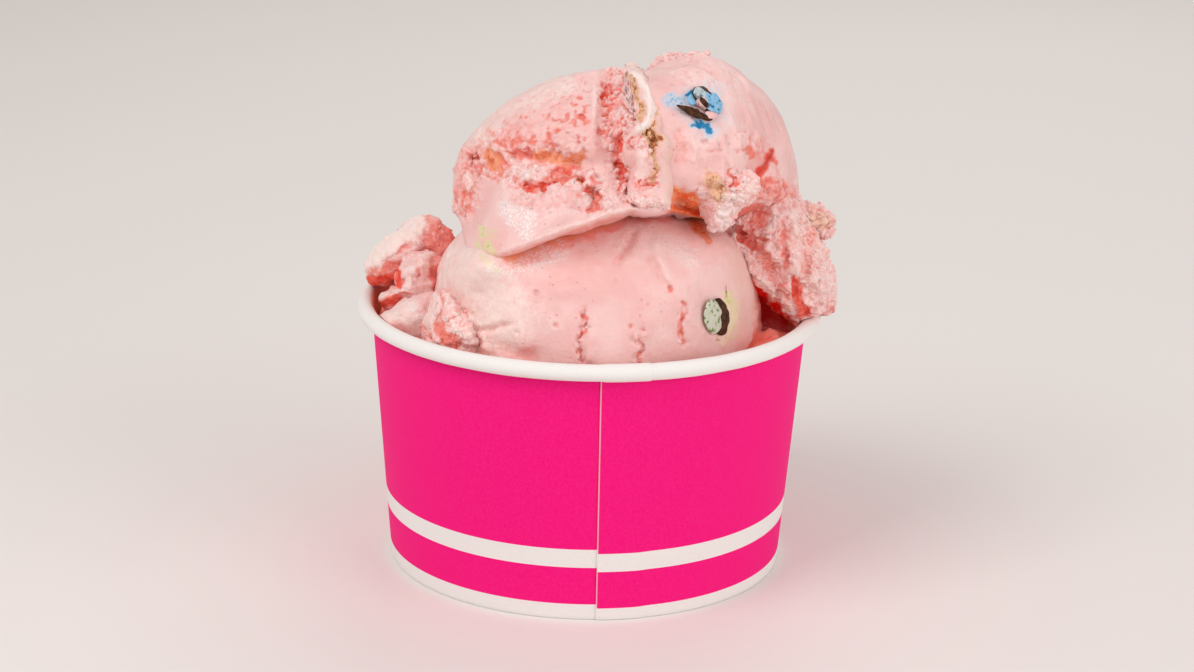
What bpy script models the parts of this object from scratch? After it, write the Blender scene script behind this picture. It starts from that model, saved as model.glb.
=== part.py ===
"""A paper tub heaped with two scoops of pink ice cream, torn lumps beside them and two broken candy drops.

The tub stands on z = 0 and is turned about an upright axis. The heap is described by outlines: each
lump has an outline on the upright plane through the tub's axis, as it looks from the point EYE in
front of the tub, and a depth along the line of sight. Points of a lump lie on those lines of sight,
so its outline keeps its place however deep the lump lies.
"""

from dataclasses import dataclass

import bmesh
import bpy
import numpy as np
from mathutils import Matrix, Vector

MM = 0.001

# The whole leans out over the rim at +X, so the tub's axis stands this far to -X of the origin.
AXIS_X = -1.2 * MM

# The paper tub
HEIGHT = 50.0 * MM
RIM_RADIUS = 43.5 * MM
BEAD_RADIUS = 1.62 * MM
FOOT_RADIUS = 36.95 * MM
PAPER = 0.5 * MM
GAP = 0.3 * MM
FOLD_HEIGHT = 3.0 * MM
RECESS = 3.8 * MM
FOOT_ROUND = 0.3 * MM
TURN_STEPS = 52
BEAD_START = 180.0
BEAD_END = -112.0
BEAD_STEPS = 12
CURL_STEPS = 6
TURN_MERGE = 0.01 * MM
SURROUND_BELOW = -10.0 * MM
BEAD_Z = HEIGHT - BEAD_RADIUS
BEAD_CENTRE = RIM_RADIUS - BEAD_RADIUS
WALL_TOP = BEAD_CENTRE - BEAD_RADIUS + PAPER
WALL_SLOPE = (WALL_TOP - FOOT_RADIUS) / BEAD_Z

# How much the pieces are grown to cut their neighbours: between points, a grown face falls a little short
GROWTH = 1.15 * GAP

# Where the outlines are seen from
EYE = Vector((1.5 * MM, -540.2 * MM, 207.3 * MM))

# The ice cream that fills the tub
FILL_TOP = 43.6 * MM
FILL_WAVE = 1.0 * MM
FILL_MOUND = 4.4 * MM
FILL_MOUND_PLACE = (33.0 * MM, -17.0 * MM)
FILL_MOUND_WIDTH = 8.0 * MM
FILL_GRAIN = 7.0
FILL_SEED = 21
FILL_STEPS = 36
FILL_RINGS = 4


@dataclass(frozen=True)
class Lump:
    """A lump of ice cream. The outline and centre are (across, height) in mm on the plane through the
    tub's axis, and the depths are in mm, less being nearer to EYE. The outline lies at depth, or as far
    from the front of the lump that it rides on; the lump bulges by front and back from it, and its
    edge leans by the (angle in degrees, mm) pairs of lean, so that it can hang forward on one side."""

    outline: tuple
    centre: tuple
    depth: float
    front: float
    back: float
    rides: "Lump | None" = None
    lean: tuple = ((0.0, 0.0),)
    swell: float = 0.0
    grain: float = 6.0
    seed: int = 1
    strokes: tuple = ()


@dataclass(frozen=True)
class Stroke:
    """A groove or a swelling along a path of (across, height) points: rise is towards EYE, in mm."""

    path: tuple
    width: float
    rise: float


UPPER_SCOOP = Lump(
    outline=(
        (-25.8, 70.0), (-24.9, 75.8), (-22.0, 81.2), (-17.3, 86.4), (-11.8, 89.7), (-6.0, 91.9),
        (1.0, 93.2), (6.4, 94.4), (9.2, 93.7), (12.3, 95.8), (19.5, 97.3), (24.4, 94.6),
        (28.9, 90.8), (33.6, 85.5), (36.5, 80.1), (38.1, 73.5), (38.1, 68.9), (34.0, 67.8),
        (30.7, 67.0), (26.6, 66.5), (20.1, 66.0), (15.6, 66.8), (7.2, 66.4), (1.6, 64.4),
        (-5.8, 61.7), (-11.3, 59.0), (-16.0, 57.2), (-19.3, 55.9), (-22.5, 57.4), (-24.0, 61.0),
        (-24.2, 64.9), (-25.2, 66.8),
    ),
    centre=(5.5, 76.0),
    depth=0.0,
    front=28.0,
    back=24.0,
    lean=(
        (-200.0, 0.0), (-175.0, -5.0), (-157.0, -15.0), (-142.0, -26.0), (-120.0, -27.5), (-80.0, -27.0),
        (-55.0, -24.5), (-37.0, -20.5), (-20.0, -10.0), (0.0, -2.0), (20.0, 0.0),
    ),
    swell=0.7,
    grain=8.0,
    seed=3,
    strokes=(
        Stroke(((3.8, 89.8), (3.0, 81.0), (4.9, 73.6), (8.2, 70.5)), 3.2, -3.0),
        Stroke(((-21.0, 75.0), (-13.2, 75.8), (-5.8, 76.0), (0.3, 75.0)), 2.8, -2.6),
        Stroke(((-17.0, 65.6), (-5.7, 67.7), (1.8, 69.9)), 4.5, 2.0),
        Stroke(((-21.1, 77.9), (-20.7, 71.1), (-22.1, 65.2)), 1.8, -2.0),
        Stroke(((32.7, 80.4), (29.9, 75.6), (28.1, 72.7)), 1.6, -2.4),
        Stroke(((22.0, 85.0), (23.0, 80.0)), 9.0, 2.0),
        Stroke(((16.6, 67.8), (20.5, 66.0)), 2.3, -8.0),
        Stroke(((27.5, 66.4), (34.0, 67.6)), 2.0, -6.0),
    ),
)
CURLED_EDGE = Lump(
    outline=(
        (6.4, 94.6), (9.3, 92.3), (10.7, 88.0), (12.7, 82.4), (14.3, 75.8), (14.9, 70.0), (14.4, 67.3),
        (11.7, 67.9), (9.0, 67.4), (6.7, 68.7), (7.3, 74.6), (6.4, 81.5), (7.6, 86.2), (7.0, 89.4),
        (5.6, 92.5),
    ),
    centre=(10.5, 79.0),
    depth=0.6,
    front=3.0,
    back=3.0,
    rides=UPPER_SCOOP,
    seed=5,
)
CRUMB_TONGUE = Lump(
    outline=(
        (20.8, 74.6), (24.0, 76.0), (27.7, 75.4), (31.1, 73.5), (31.5, 71.0), (29.7, 69.3), (27.2, 67.9),
        (26.5, 65.1), (24.4, 63.2), (22.5, 63.7), (20.9, 66.4), (19.9, 69.2), (18.9, 71.5),
    ),
    centre=(24.8, 70.5),
    depth=-21.5,
    front=5.0,
    back=6.5,
    swell=0.5,
    grain=3.0,
    seed=6,
)
LOWER_SCOOP = Lump(
    outline=(
        (-29.4, 48.7), (-28.7, 54.6), (-27.2, 58.5), (-23.5, 62.8), (-17.0, 66.0), (-5.9, 68.0),
        (5.2, 68.3), (10.8, 67.5), (18.3, 66.3), (24.0, 64.5), (27.4, 63.0), (30.2, 57.5),
        (31.3, 52.1), (31.9, 41.3), (30.8, 30.4), (25.5, 20.2), (12.3, 13.9), (0.9, 11.5),
        (-12.5, 13.2), (-24.1, 19.0), (-28.9, 28.9), (-29.9, 40.8),
    ),
    centre=(2.0, 37.0),
    depth=-7.0,
    front=32.0,
    back=34.0,
    swell=0.35,
    grain=12.0,
    seed=8,
)
RIGHT_SLAB = Lump(
    outline=(
        (26.4, 72.3), (32.0, 75.2), (36.5, 74.2), (38.1, 69.6), (39.9, 65.5), (41.7, 62.0), (44.0, 57.8),
        (45.7, 53.4), (46.7, 50.5), (46.3, 48.7), (43.0, 47.1), (40.2, 45.5), (38.1, 46.2), (35.4, 48.7),
        (32.5, 50.9), (28.5, 52.5), (24.6, 57.8), (22.4, 62.6), (24.7, 68.4),
    ),
    centre=(35.8, 59.6),
    depth=-8.0,
    front=9.0,
    back=13.0,
    swell=0.8,
    grain=5.0,
    seed=11,
)
SLAB_CRUMB = Lump(
    outline=(
        (37.4, 67.4), (39.8, 69.3), (42.0, 68.6), (43.9, 67.9), (44.9, 66.0), (44.8, 63.7), (43.0, 62.6),
        (40.5, 62.2), (38.0, 63.0),
    ),
    centre=(41.0, 65.8),
    depth=-7.0,
    front=3.4,
    back=3.4,
    seed=12,
)
LEFT_CHUNK = Lump(
    outline=(
        (-42.7, 54.2), (-42.0, 56.6), (-39.3, 59.5), (-36.5, 61.9), (-34.1, 63.7), (-31.0, 64.6),
        (-28.2, 64.0), (-25.9, 61.2), (-24.3, 58.0), (-25.6, 55.2), (-30.4, 54.9), (-33.3, 54.6),
        (-35.6, 54.0), (-36.9, 52.4), (-39.7, 51.4), (-42.0, 52.1),
    ),
    centre=(-33.4, 58.0),
    depth=3.0,
    front=9.0,
    back=13.0,
    swell=0.7,
    grain=4.0,
    seed=14,
)
LEFT_KNOBS = Lump(
    outline=(
        (-39.4, 48.9), (-36.3, 50.9), (-35.8, 54.4), (-34.1, 57.1), (-31.5, 58.4), (-28.9, 57.3),
        (-26.4, 54.2), (-25.0, 48.3), (-28.6, 44.3), (-33.7, 43.8), (-37.4, 45.9),
    ),
    centre=(-32.2, 50.5),
    depth=-5.0,
    front=7.0,
    back=8.0,
    swell=0.6,
    grain=3.2,
    seed=15,
)
LEFT_SLAB = Lump(
    outline=(
        (-40.4, 43.6), (-37.1, 46.7), (-33.3, 49.2), (-29.6, 50.6), (-27.3, 48.7), (-26.8, 42.8),
        (-28.5, 37.8), (-34.6, 36.7), (-38.8, 40.0),
    ),
    centre=(-33.4, 43.8),
    depth=-11.0,
    front=8.0,
    back=7.0,
    swell=0.3,
    grain=5.0,
    seed=16,
)
CRACKED_PIECE = Lump(
    outline=(
        (-28.8, 50.3), (-26.0, 50.7), (-23.0, 47.8), (-19.5, 44.6), (-17.2, 40.1), (-17.3, 33.7),
        (-25.2, 33.0), (-30.9, 37.2), (-31.0, 42.8), (-29.9, 46.7),
    ),
    centre=(-25.0, 42.0),
    depth=-21.0,
    front=11.5,
    back=9.0,
    swell=0.5,
    grain=4.0,
    seed=17,
)


@dataclass(frozen=True)
class Drop:
    """A round, flattened chocolate drop in a sugar shell, broken off flat at one side. Its centre is
    (across, height) on the axis plane, sunk below the front of the scoop, in mm; it tilts in degrees."""

    scoop: Lump
    centre: tuple
    sunk: float
    radius: float
    half_thickness: float
    tilt: tuple
    break_at: float


BLUE_DROP = Drop(UPPER_SCOOP, (21.0, 87.4), -1.4, 4.7, 2.6, (40.0, 20.0), 2.6)
GREEN_DROP = Drop(LOWER_SCOOP, (24.4, 46.8), 1.2, 4.2, 2.4, (76.0, 58.0), 2.2)
BREAK_SLANT = 0.12
DROP_SEGMENTS = 16
DROP_RINGS = 8

# Triangles kept on each lump
TRIANGLES = {
    "upper_scoop": 2300,
    "lower_scoop": 1400,
    "right_slab": 760,
    "left_chunk": 500,
    "left_knobs": 340,
    "left_slab": 240,
    "cracked_piece": 280,
}
DETAIL_TRIANGLES = 240
BALL_STEPS = 34
EASE_DEGREES = 3.0
# A stroke is at full strength on the part of a lump's front that is turned at least this far to EYE
STROKE_FACING = 0.5

# Random values are made from whole-number places, by strides that keep the places apart
HASH_STRIDES = (127, 311, 743)
HASH_SEED_STRIDE = 1013
HASH_TURN = 12.9898
HASH_SPREAD = 43758.5453

# Colours and roughness
PRINTED_PAPER_LOOK = ((0.9, 0.05, 0.25), 0.4)
WHITE_PAPER_LOOK = ((0.85, 0.82, 0.78), 0.6)
ICE_CREAM_LOOK = ((0.9, 0.55, 0.53), 0.5)
BLUE_SHELL_LOOK = ((0.15, 0.4, 0.6), 0.3)
GREEN_SHELL_LOOK = ((0.35, 0.45, 0.15), 0.3)


def clear_scene():
    """Removes whatever the scene holds."""
    for obj in list(bpy.data.objects):
        bpy.data.objects.remove(obj)


def make_material(name, look):
    """A plain material of one colour."""
    colour, roughness = look
    material = bpy.data.materials.new(name)
    material.use_nodes = True
    shader = material.node_tree.nodes["Principled BSDF"]
    shader.inputs["Base Color"].default_value = (*colour, 1.0)
    shader.inputs["Roughness"].default_value = roughness
    return material


def add_object(name, mesh, collection):
    """Puts a mesh into the collection as an object of this name."""
    obj = bpy.data.objects.new(name, mesh)
    collection.objects.link(obj)
    return obj


def settle(obj):
    """Works the object's modifiers into its mesh."""
    graph = bpy.context.evaluated_depsgraph_get()
    mesh = bpy.data.meshes.new_from_object(obj.evaluated_get(graph))
    obj.modifiers.clear()
    obj.data = mesh


def keep_largest_body(obj):
    """Drops the scraps that a cut leaves loose."""
    shape = bmesh.new()
    shape.from_mesh(obj.data)
    left = set(shape.verts)
    bodies = []
    while left:
        reached = [left.pop()]
        body = []
        while reached:
            vert = reached.pop()
            body.append(vert)
            for edge in vert.link_edges:
                other = edge.other_vert(vert)
                if other in left:
                    left.remove(other)
                    reached.append(other)
        bodies.append(body)
    bodies.sort(key=len)
    for body in bodies[:-1]:
        bmesh.ops.delete(shape, geom=body, context="VERTS")
    shape.to_mesh(obj.data)
    shape.free()


def ball(steps):
    """The points of a cube's six faces, divided into steps, pushed out to a ball; and its faces."""
    shape = bmesh.new()
    bmesh.ops.create_cube(shape, size=2.0)
    bmesh.ops.subdivide_edges(shape, edges=shape.edges[:], cuts=steps - 1, use_grid_fill=True)
    points = np.array([vert.co for vert in shape.verts])
    faces = [[vert.index for vert in face.verts] for face in shape.faces]
    shape.free()
    points = np.tan(points * np.pi / 4)
    return points / np.linalg.norm(points, axis=1, keepdims=True), faces


def lattice_noise(points, seed):
    """Smooth noise between -1 and 1: random values at whole-number places, blended in between."""
    low = np.floor(points).astype(int)
    part = points - low
    part = part * part * (3 - 2 * part)
    total = np.zeros(len(points))
    for corner in np.ndindex(2, 2, 2):
        place = (low + corner) @ HASH_STRIDES + seed * HASH_SEED_STRIDE
        value = np.modf(np.abs(np.sin(place * HASH_TURN) * HASH_SPREAD))[0]
        weight = np.prod(np.where(corner, part, 1 - part), axis=1)
        total += weight * (2 * value - 1)
    return total


def eased_interp(angles, known_degrees, known_values):
    """Values at angles in radians, between values known at some degrees, eased over a few degrees."""
    eased = [
        np.interp(np.degrees(angles) + step, known_degrees, known_values, period=360.0)
        for step in (-EASE_DEGREES, 0.0, EASE_DEGREES)
    ]
    return np.mean(eased, axis=0)


def outline_reach(outline, centre, angles):
    """How far an outline is from its centre at each angle."""
    offsets = np.array(outline) - centre
    corner_degrees = np.degrees(np.arctan2(offsets[:, 1], offsets[:, 0]))
    return eased_interp(angles, corner_degrees, np.hypot(offsets[:, 0], offsets[:, 1]))


def path_distance(places, path):
    """How far each place is from a path of straight stretches."""
    nearest = np.full(len(places), np.inf)
    for start, end in zip(np.array(path)[:-1], np.array(path)[1:]):
        stretch = end - start
        along = np.clip((places - start) @ stretch / (stretch @ stretch), 0, 1)
        offsets = places - start - along[:, None] * stretch
        nearest = np.minimum(nearest, np.linalg.norm(offsets, axis=1))
    return nearest


def on_sight_lines(across, height, depth):
    """Points in metres that look as if at (across, height) on the axis plane and lie at this depth, in mm."""
    eye = np.array(EYE) / MM
    reach = 1 - depth / eye[1]
    x = eye[0] + (across - eye[0]) * reach
    z = eye[2] + (height - eye[2]) * reach
    return np.stack([x, depth, z], axis=1) * MM


def bare_depth(lump, angles, level, forward):
    """Depths over a lump without its strokes, in mm: own depth - bulge x forward + lean x level squared.
    Level is 0 at the lump's middle and 1 at its outline; forward is 1 at its front and -1 at its back."""
    bulge = np.where(forward > 0, lump.front, lump.back)
    return lump.depth - bulge * forward + eased_interp(angles, *np.array(lump.lean).T) * level**2


def front_depth(lump, places):
    """The depth of a lump's front at places (across, height), in mm."""
    offsets = places - lump.centre
    angles = np.arctan2(offsets[:, 1], offsets[:, 0])
    level = np.hypot(offsets[:, 0], offsets[:, 1]) / outline_reach(lump.outline, lump.centre, angles)
    level = np.clip(level, 0, 1)
    return bare_depth(lump, angles, level, np.sqrt(1 - level**2))


def lump_points(lump, directions):
    """A lump's points for the directions of a ball. Across and height follow the outline, scaled by how
    far the direction turns from the line of sight; the depth swells to front and back like the ball."""
    level = np.hypot(directions[:, 0], directions[:, 2])
    angles = np.arctan2(directions[:, 2], directions[:, 0])
    reach = outline_reach(lump.outline, lump.centre, angles) * level
    places = np.stack([np.cos(angles) * reach, np.sin(angles) * reach], axis=1) + lump.centre
    forward = -directions[:, 1]
    depth = bare_depth(lump, angles, level, forward)
    if lump.rides:
        depth += front_depth(lump.rides, places)
    for stroke in lump.strokes:
        fade = np.exp(-((path_distance(places, stroke.path) / stroke.width) ** 2))
        depth -= np.clip(forward / STROKE_FACING, 0, 1) * stroke.rise * fade
    points = on_sight_lines(places[:, 0], places[:, 1], depth)
    outward = points - points.mean(axis=0)
    outward /= np.linalg.norm(outward, axis=1, keepdims=True)
    waves = lattice_noise(points / MM / lump.grain, lump.seed)
    return points + outward * (waves * lump.swell * MM)[:, None]


def make_lump(name, lump, collection, triangles=None):
    """A lump as one closed mesh, thinned to about the number of triangles given."""
    directions, faces = ball(BALL_STEPS)
    mesh = bpy.data.meshes.new(name)
    mesh.from_pydata(lump_points(lump, directions).tolist(), [], faces)
    obj = add_object(name, mesh, collection)
    if triangles:
        thin = obj.modifiers.new("thin", "DECIMATE")
        thin.ratio = triangles / (2 * len(faces))
        settle(obj)
    return obj


def make_drop(name, drop, collection):
    """A flattened ball whose far side is broken off along a flat face."""
    shape = bmesh.new()
    bmesh.ops.create_uvsphere(shape, u_segments=DROP_SEGMENTS, v_segments=DROP_RINGS, radius=1.0)
    for vert in shape.verts:
        vert.co = Vector((vert.co.x * drop.radius, vert.co.y * drop.radius, vert.co.z * drop.half_thickness))
        vert.co.x = min(vert.co.x, drop.break_at + BREAK_SLANT * vert.co.y)
    bmesh.ops.scale(shape, vec=(MM, MM, MM), verts=shape.verts)
    tip, turn = np.radians(drop.tilt)
    rotation = Matrix.Rotation(turn, 3, "Y") @ Matrix.Rotation(tip, 3, "X")
    bmesh.ops.rotate(shape, cent=(0, 0, 0), matrix=rotation, verts=shape.verts)
    depth = front_depth(drop.scoop, np.array([drop.centre])) + drop.sunk
    place = on_sight_lines(np.array([drop.centre[0]]), np.array([drop.centre[1]]), depth)[0]
    bmesh.ops.translate(shape, vec=place.tolist(), verts=shape.verts)
    mesh = bpy.data.meshes.new(name)
    shape.to_mesh(mesh)
    shape.free()
    return add_object(name, mesh, collection)


def turn_profile(name, profile, collection, closed, steps=TURN_STEPS):
    """A profile of (radius, height) points, in order down its outer side, turned about the axis."""
    mesh = bpy.data.meshes.new(name)
    count = len(profile)
    edges = [(i, (i + 1) % count) for i in range(count if closed else count - 1)]
    mesh.from_pydata([(radius, 0, height) for radius, height in profile], edges, [])
    obj = add_object(name, mesh, collection)
    screw = obj.modifiers.new("turn", "SCREW")
    screw.steps = steps
    screw.render_steps = steps
    screw.use_merge_vertices = True
    screw.merge_threshold = TURN_MERGE
    settle(obj)
    return obj


def wall_radius(height):
    """Outer radius of the tub's wall at a height."""
    return FOOT_RADIUS + WALL_SLOPE * height


def bead_arc(radius, start, end, steps):
    """Points on an arc about the bead's centre, from one angle to another in degrees."""
    angles = np.radians(np.linspace(start, end, steps + 1))
    return [(BEAD_CENTRE + radius * np.cos(a), BEAD_Z + radius * np.sin(a)) for a in angles]


def make_sleeve(collection):
    """The paper wall: rolled outwards into a bead at the rim, folded in and up at the foot."""
    fold_outer = FOOT_RADIUS - 2 * PAPER - 2 * GAP
    fold_inner = fold_outer - PAPER
    profile = [
        (wall_radius(FOOT_ROUND), FOOT_ROUND),
        (FOOT_RADIUS - FOOT_ROUND, 0.0),
        (fold_inner + FOOT_ROUND, 0.0),
        (fold_inner, FOOT_ROUND),
        (fold_inner, FOLD_HEIGHT),
        (fold_outer, FOLD_HEIGHT),
        (fold_outer, PAPER),
        (wall_radius(PAPER) - PAPER, PAPER),
    ]
    profile += bead_arc(BEAD_RADIUS, BEAD_START, BEAD_END, BEAD_STEPS)
    profile += bead_arc(BEAD_RADIUS - PAPER, BEAD_END, BEAD_START, CURL_STEPS)
    return turn_profile("cup_sleeve", profile, collection, closed=True)


def make_base(collection):
    """The paper disc above the foot, with a skirt turned down into the wall's fold."""
    skirt_outer = FOOT_RADIUS - PAPER - GAP
    skirt_inner = skirt_outer - PAPER
    profile = [
        (0.0, RECESS + PAPER),
        (skirt_outer - FOOT_ROUND, RECESS + PAPER),
        (skirt_outer, RECESS + PAPER - FOOT_ROUND),
        (skirt_outer, PAPER + GAP),
        (skirt_inner, PAPER + GAP),
        (skirt_inner, RECESS),
        (0.0, RECESS),
    ]
    return turn_profile("cup_base", profile, collection, closed=False)


def make_surround(collection):
    """The tub's wall and bead grown by the gap and thickened outwards: what the ice cream may not enter."""
    far = RIM_RADIUS + GAP
    foot = wall_radius(SURROUND_BELOW) - PAPER - GAP
    profile = [(far, BEAD_Z), (far, SURROUND_BELOW), (foot, SURROUND_BELOW)]
    profile += bead_arc(BEAD_RADIUS + GAP, BEAD_START, 0.0, BEAD_STEPS)[:-1]
    return turn_profile("surround", profile, collection, closed=True)


def make_fill(collection):
    """The ice cream that fills the tub: a turned plug, uneven on top and heaped at one side."""
    floor = RECESS + PAPER + GAP
    side = wall_radius(FILL_TOP) - PAPER - GAP
    profile = [(side * ring / FILL_RINGS, FILL_TOP) for ring in range(FILL_RINGS + 1)]
    profile += [(wall_radius(floor) - PAPER - GAP, floor), (0.0, floor)]
    obj = turn_profile("cup_fill", profile, collection, closed=False, steps=FILL_STEPS)
    points = np.array([vert.co for vert in obj.data.vertices])
    top = points[:, 2] > FILL_TOP - MM
    from_mound = np.linalg.norm(points[:, :2] - FILL_MOUND_PLACE, axis=1) / FILL_MOUND_WIDTH
    rise = FILL_WAVE * lattice_noise(points / MM / FILL_GRAIN, FILL_SEED)
    rise += FILL_MOUND * np.exp(-(from_mound**2))
    points[top, 2] += rise[top]
    obj.data.vertices.foreach_set("co", points.astype(np.float32).ravel())
    return obj


def grown_copy(obj, collection):
    """A copy of the object grown by the gap, to cut its neighbours with."""
    copy = add_object("grown_" + obj.name, obj.data.copy(), collection)
    grow = copy.modifiers.new("grow", "DISPLACE")
    grow.strength = GROWTH
    grow.mid_level = 0.0
    settle(copy)
    return copy


def boolean(obj, other, operation):
    """Joins another mesh to the object, or cuts it out of it."""
    modifier = obj.modifiers.new(operation.lower(), "BOOLEAN")
    modifier.operation = operation
    modifier.solver = "MANIFOLD"
    modifier.object = other
    settle(obj)


def main():
    """Makes the tub, the drops and the lumps, and cuts each piece clear of the ones before it."""
    clear_scene()
    parts = bpy.data.collections.new("gelato_cup")
    guides = bpy.data.collections.new("guides")
    for collection in (parts, guides):
        bpy.context.scene.collection.children.link(collection)

    sleeve = make_sleeve(parts)
    base = make_base(parts)
    surround = make_surround(guides)

    blue = make_drop("blue_drop", BLUE_DROP, parts)
    green = make_drop("green_drop", GREEN_DROP, parts)

    upper = make_lump("upper_scoop", UPPER_SCOOP, parts, TRIANGLES["upper_scoop"])
    for name, lump in (("curled_edge", CURLED_EDGE), ("crumb_tongue", CRUMB_TONGUE)):
        boolean(upper, make_lump(name, lump, guides, DETAIL_TRIANGLES), "UNION")
    lower = make_lump("lower_scoop", LOWER_SCOOP, parts, TRIANGLES["lower_scoop"])
    right = make_lump("right_slab", RIGHT_SLAB, parts, TRIANGLES["right_slab"])
    boolean(right, make_lump("slab_crumb", SLAB_CRUMB, guides, DETAIL_TRIANGLES), "UNION")
    others = [
        make_lump(name, lump, parts, TRIANGLES[name])
        for name, lump in (
            ("left_slab", LEFT_SLAB),
            ("left_knobs", LEFT_KNOBS),
            ("left_chunk", LEFT_CHUNK),
            ("cracked_piece", CRACKED_PIECE),
        )
    ]
    fill = make_fill(parts)

    # Each piece is cut by the pieces before it, grown by the gap. In a sharp fold a grown copy can fall
    # short of the piece itself, so the piece cuts too.
    placed = [grown_copy(blue, guides), blue, grown_copy(green, guides), green]
    for piece in (upper, lower, right, *others, fill):
        for cutter in placed + ([] if piece is upper else [surround]):
            boolean(piece, cutter, "DIFFERENCE")
        keep_largest_body(piece)
        placed += [grown_copy(piece, guides), piece]

    for guide in list(guides.objects):
        bpy.data.objects.remove(guide)
    bpy.data.collections.remove(guides)

    ice_cream = make_material("ice_cream", ICE_CREAM_LOOK)
    smooth = {
        sleeve: make_material("printed_paper", PRINTED_PAPER_LOOK),
        base: make_material("white_paper", WHITE_PAPER_LOOK),
        blue: make_material("blue_shell", BLUE_SHELL_LOOK),
        green: make_material("green_shell", GREEN_SHELL_LOOK),
    }
    for obj in parts.objects:
        obj.data.materials.clear()
        obj.data.materials.append(smooth.get(obj, ice_cream))
        obj.data.polygons.foreach_set("use_smooth", [obj in smooth] * len(obj.data.polygons))
        obj.location.x = AXIS_X


main()
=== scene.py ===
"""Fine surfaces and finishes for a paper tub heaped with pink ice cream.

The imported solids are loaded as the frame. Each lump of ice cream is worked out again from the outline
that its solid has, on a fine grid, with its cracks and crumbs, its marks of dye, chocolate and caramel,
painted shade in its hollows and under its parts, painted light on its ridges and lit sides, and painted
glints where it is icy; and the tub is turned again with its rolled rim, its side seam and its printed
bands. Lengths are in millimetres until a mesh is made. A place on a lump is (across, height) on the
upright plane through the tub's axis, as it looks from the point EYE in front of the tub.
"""

from __future__ import annotations

import logging
import math
from dataclasses import dataclass, field
from enum import Enum

import bpy
import numpy as np
from mathutils import Matrix, Vector


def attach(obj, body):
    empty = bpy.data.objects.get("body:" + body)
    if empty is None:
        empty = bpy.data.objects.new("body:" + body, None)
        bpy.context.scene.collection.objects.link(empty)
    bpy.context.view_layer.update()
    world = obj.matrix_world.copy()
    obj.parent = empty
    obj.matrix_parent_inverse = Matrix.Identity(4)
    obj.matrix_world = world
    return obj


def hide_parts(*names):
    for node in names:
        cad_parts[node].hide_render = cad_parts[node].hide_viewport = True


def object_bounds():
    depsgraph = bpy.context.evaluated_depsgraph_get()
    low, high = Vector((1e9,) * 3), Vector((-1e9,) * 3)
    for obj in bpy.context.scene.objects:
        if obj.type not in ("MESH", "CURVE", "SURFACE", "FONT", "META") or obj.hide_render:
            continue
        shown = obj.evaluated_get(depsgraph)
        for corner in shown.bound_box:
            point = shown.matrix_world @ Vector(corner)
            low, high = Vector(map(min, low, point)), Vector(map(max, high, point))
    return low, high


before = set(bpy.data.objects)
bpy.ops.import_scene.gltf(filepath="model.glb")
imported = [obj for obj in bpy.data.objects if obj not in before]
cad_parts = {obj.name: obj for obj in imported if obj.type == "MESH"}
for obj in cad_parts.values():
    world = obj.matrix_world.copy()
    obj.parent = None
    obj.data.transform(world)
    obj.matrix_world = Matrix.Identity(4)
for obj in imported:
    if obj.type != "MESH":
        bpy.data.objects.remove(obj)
SOLID_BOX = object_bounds()

Array = np.ndarray
Place = tuple[float, float]
Colour = tuple[float, float, float]
LOG = logging.getLogger("tub")

MM = 0.001
AXIS_X = -1.2
EYE = np.array((1.5, -540.2, 207.3))
# The attribute "print" holds heights on the sheet as shares of this many mm.
PRINT_SPAN = 60.0

# Outlines are read this many degrees apart, strokes are whole where a surface faces this far forward,
# and the creases between billows are rounded off by this much noise.
EASE_DEGREES = 3.0
STROKE_FACING = 0.5
CREASE_EASE = 0.09

# How a torn surface is shaped, and how much painted shade its pits and the creases between its crumbs
# take: heights in mm, and shares of a mask or of a puff.
PUFF_MIDDLE = 0.4
PIT_DEPTH = 0.36
PIT_SHADE = 0.32
CRUMB_SHADE = 0.3
TORN_SHIFT = 0.16
TORN_BEHIND = 0.75

# Random values come from whole-number places, by strides that keep the places apart.
HASH_STRIDES = (127, 311, 743)
HASH_SEED_STRIDE = 1013
HASH_TURN = 12.9898
HASH_SPREAD = 43758.5453


def hashed(cells: Array, seed: int) -> Array:
    """Gives one random value to each whole-number cell: the fraction of a large multiple of a sine.

    Args:
        cells: whole-number places, one row each.
        seed: chooses the set of values.

    Returns:
        Values from 0 to 1.
    """
    place = cells @ HASH_STRIDES + seed * HASH_SEED_STRIDE
    return np.modf(np.abs(np.sin(place * HASH_TURN) * HASH_SPREAD))[0]


def lattice_noise(points: Array, seed: int) -> Array:
    """Blends the random values of the eight cells round each point, eased from one to the next.

    Args:
        points: places, with one unit to a cell.
        seed: chooses the set of values.

    Returns:
        Smooth values from -1 to 1.
    """
    low = np.floor(points).astype(int)
    part = points - low
    part = part * part * (3 - 2 * part)
    total = np.zeros(len(points))
    for corner in np.ndindex(2, 2, 2):
        weight = np.prod(np.where(corner, part, 1 - part), axis=1)
        total += weight * (2 * hashed(low + corner, seed) - 1)
    return total


def layered_noise(points: Array, size: float, seed: int, layers: int = 3) -> Array:
    """Adds layers of noise, each half as large and half as strong as the one before.

    Args:
        points: places in mm.
        size: the first layer's size in mm.
        seed: chooses the set of values.
        layers: how many layers there are.

    Returns:
        Values from about -1 to 1.
    """
    total = np.zeros(len(points))
    for layer in range(layers):
        total += lattice_noise(points * 2**layer / size, seed + layer) / 2**layer
    return total * 0.6


def wander(points: Array, size: float, seed: int) -> Array:
    """Gives each point a random shift that changes smoothly: one layered noise for each column.

    Args:
        points: places in mm.
        size: how far apart the shifts differ, in mm.
        seed: chooses the set of values.

    Returns:
        Three columns of values from about -1 to 1.
    """
    return np.stack([layered_noise(points, size, seed + 10 * axis, 2) for axis in range(3)], axis=1)


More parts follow.
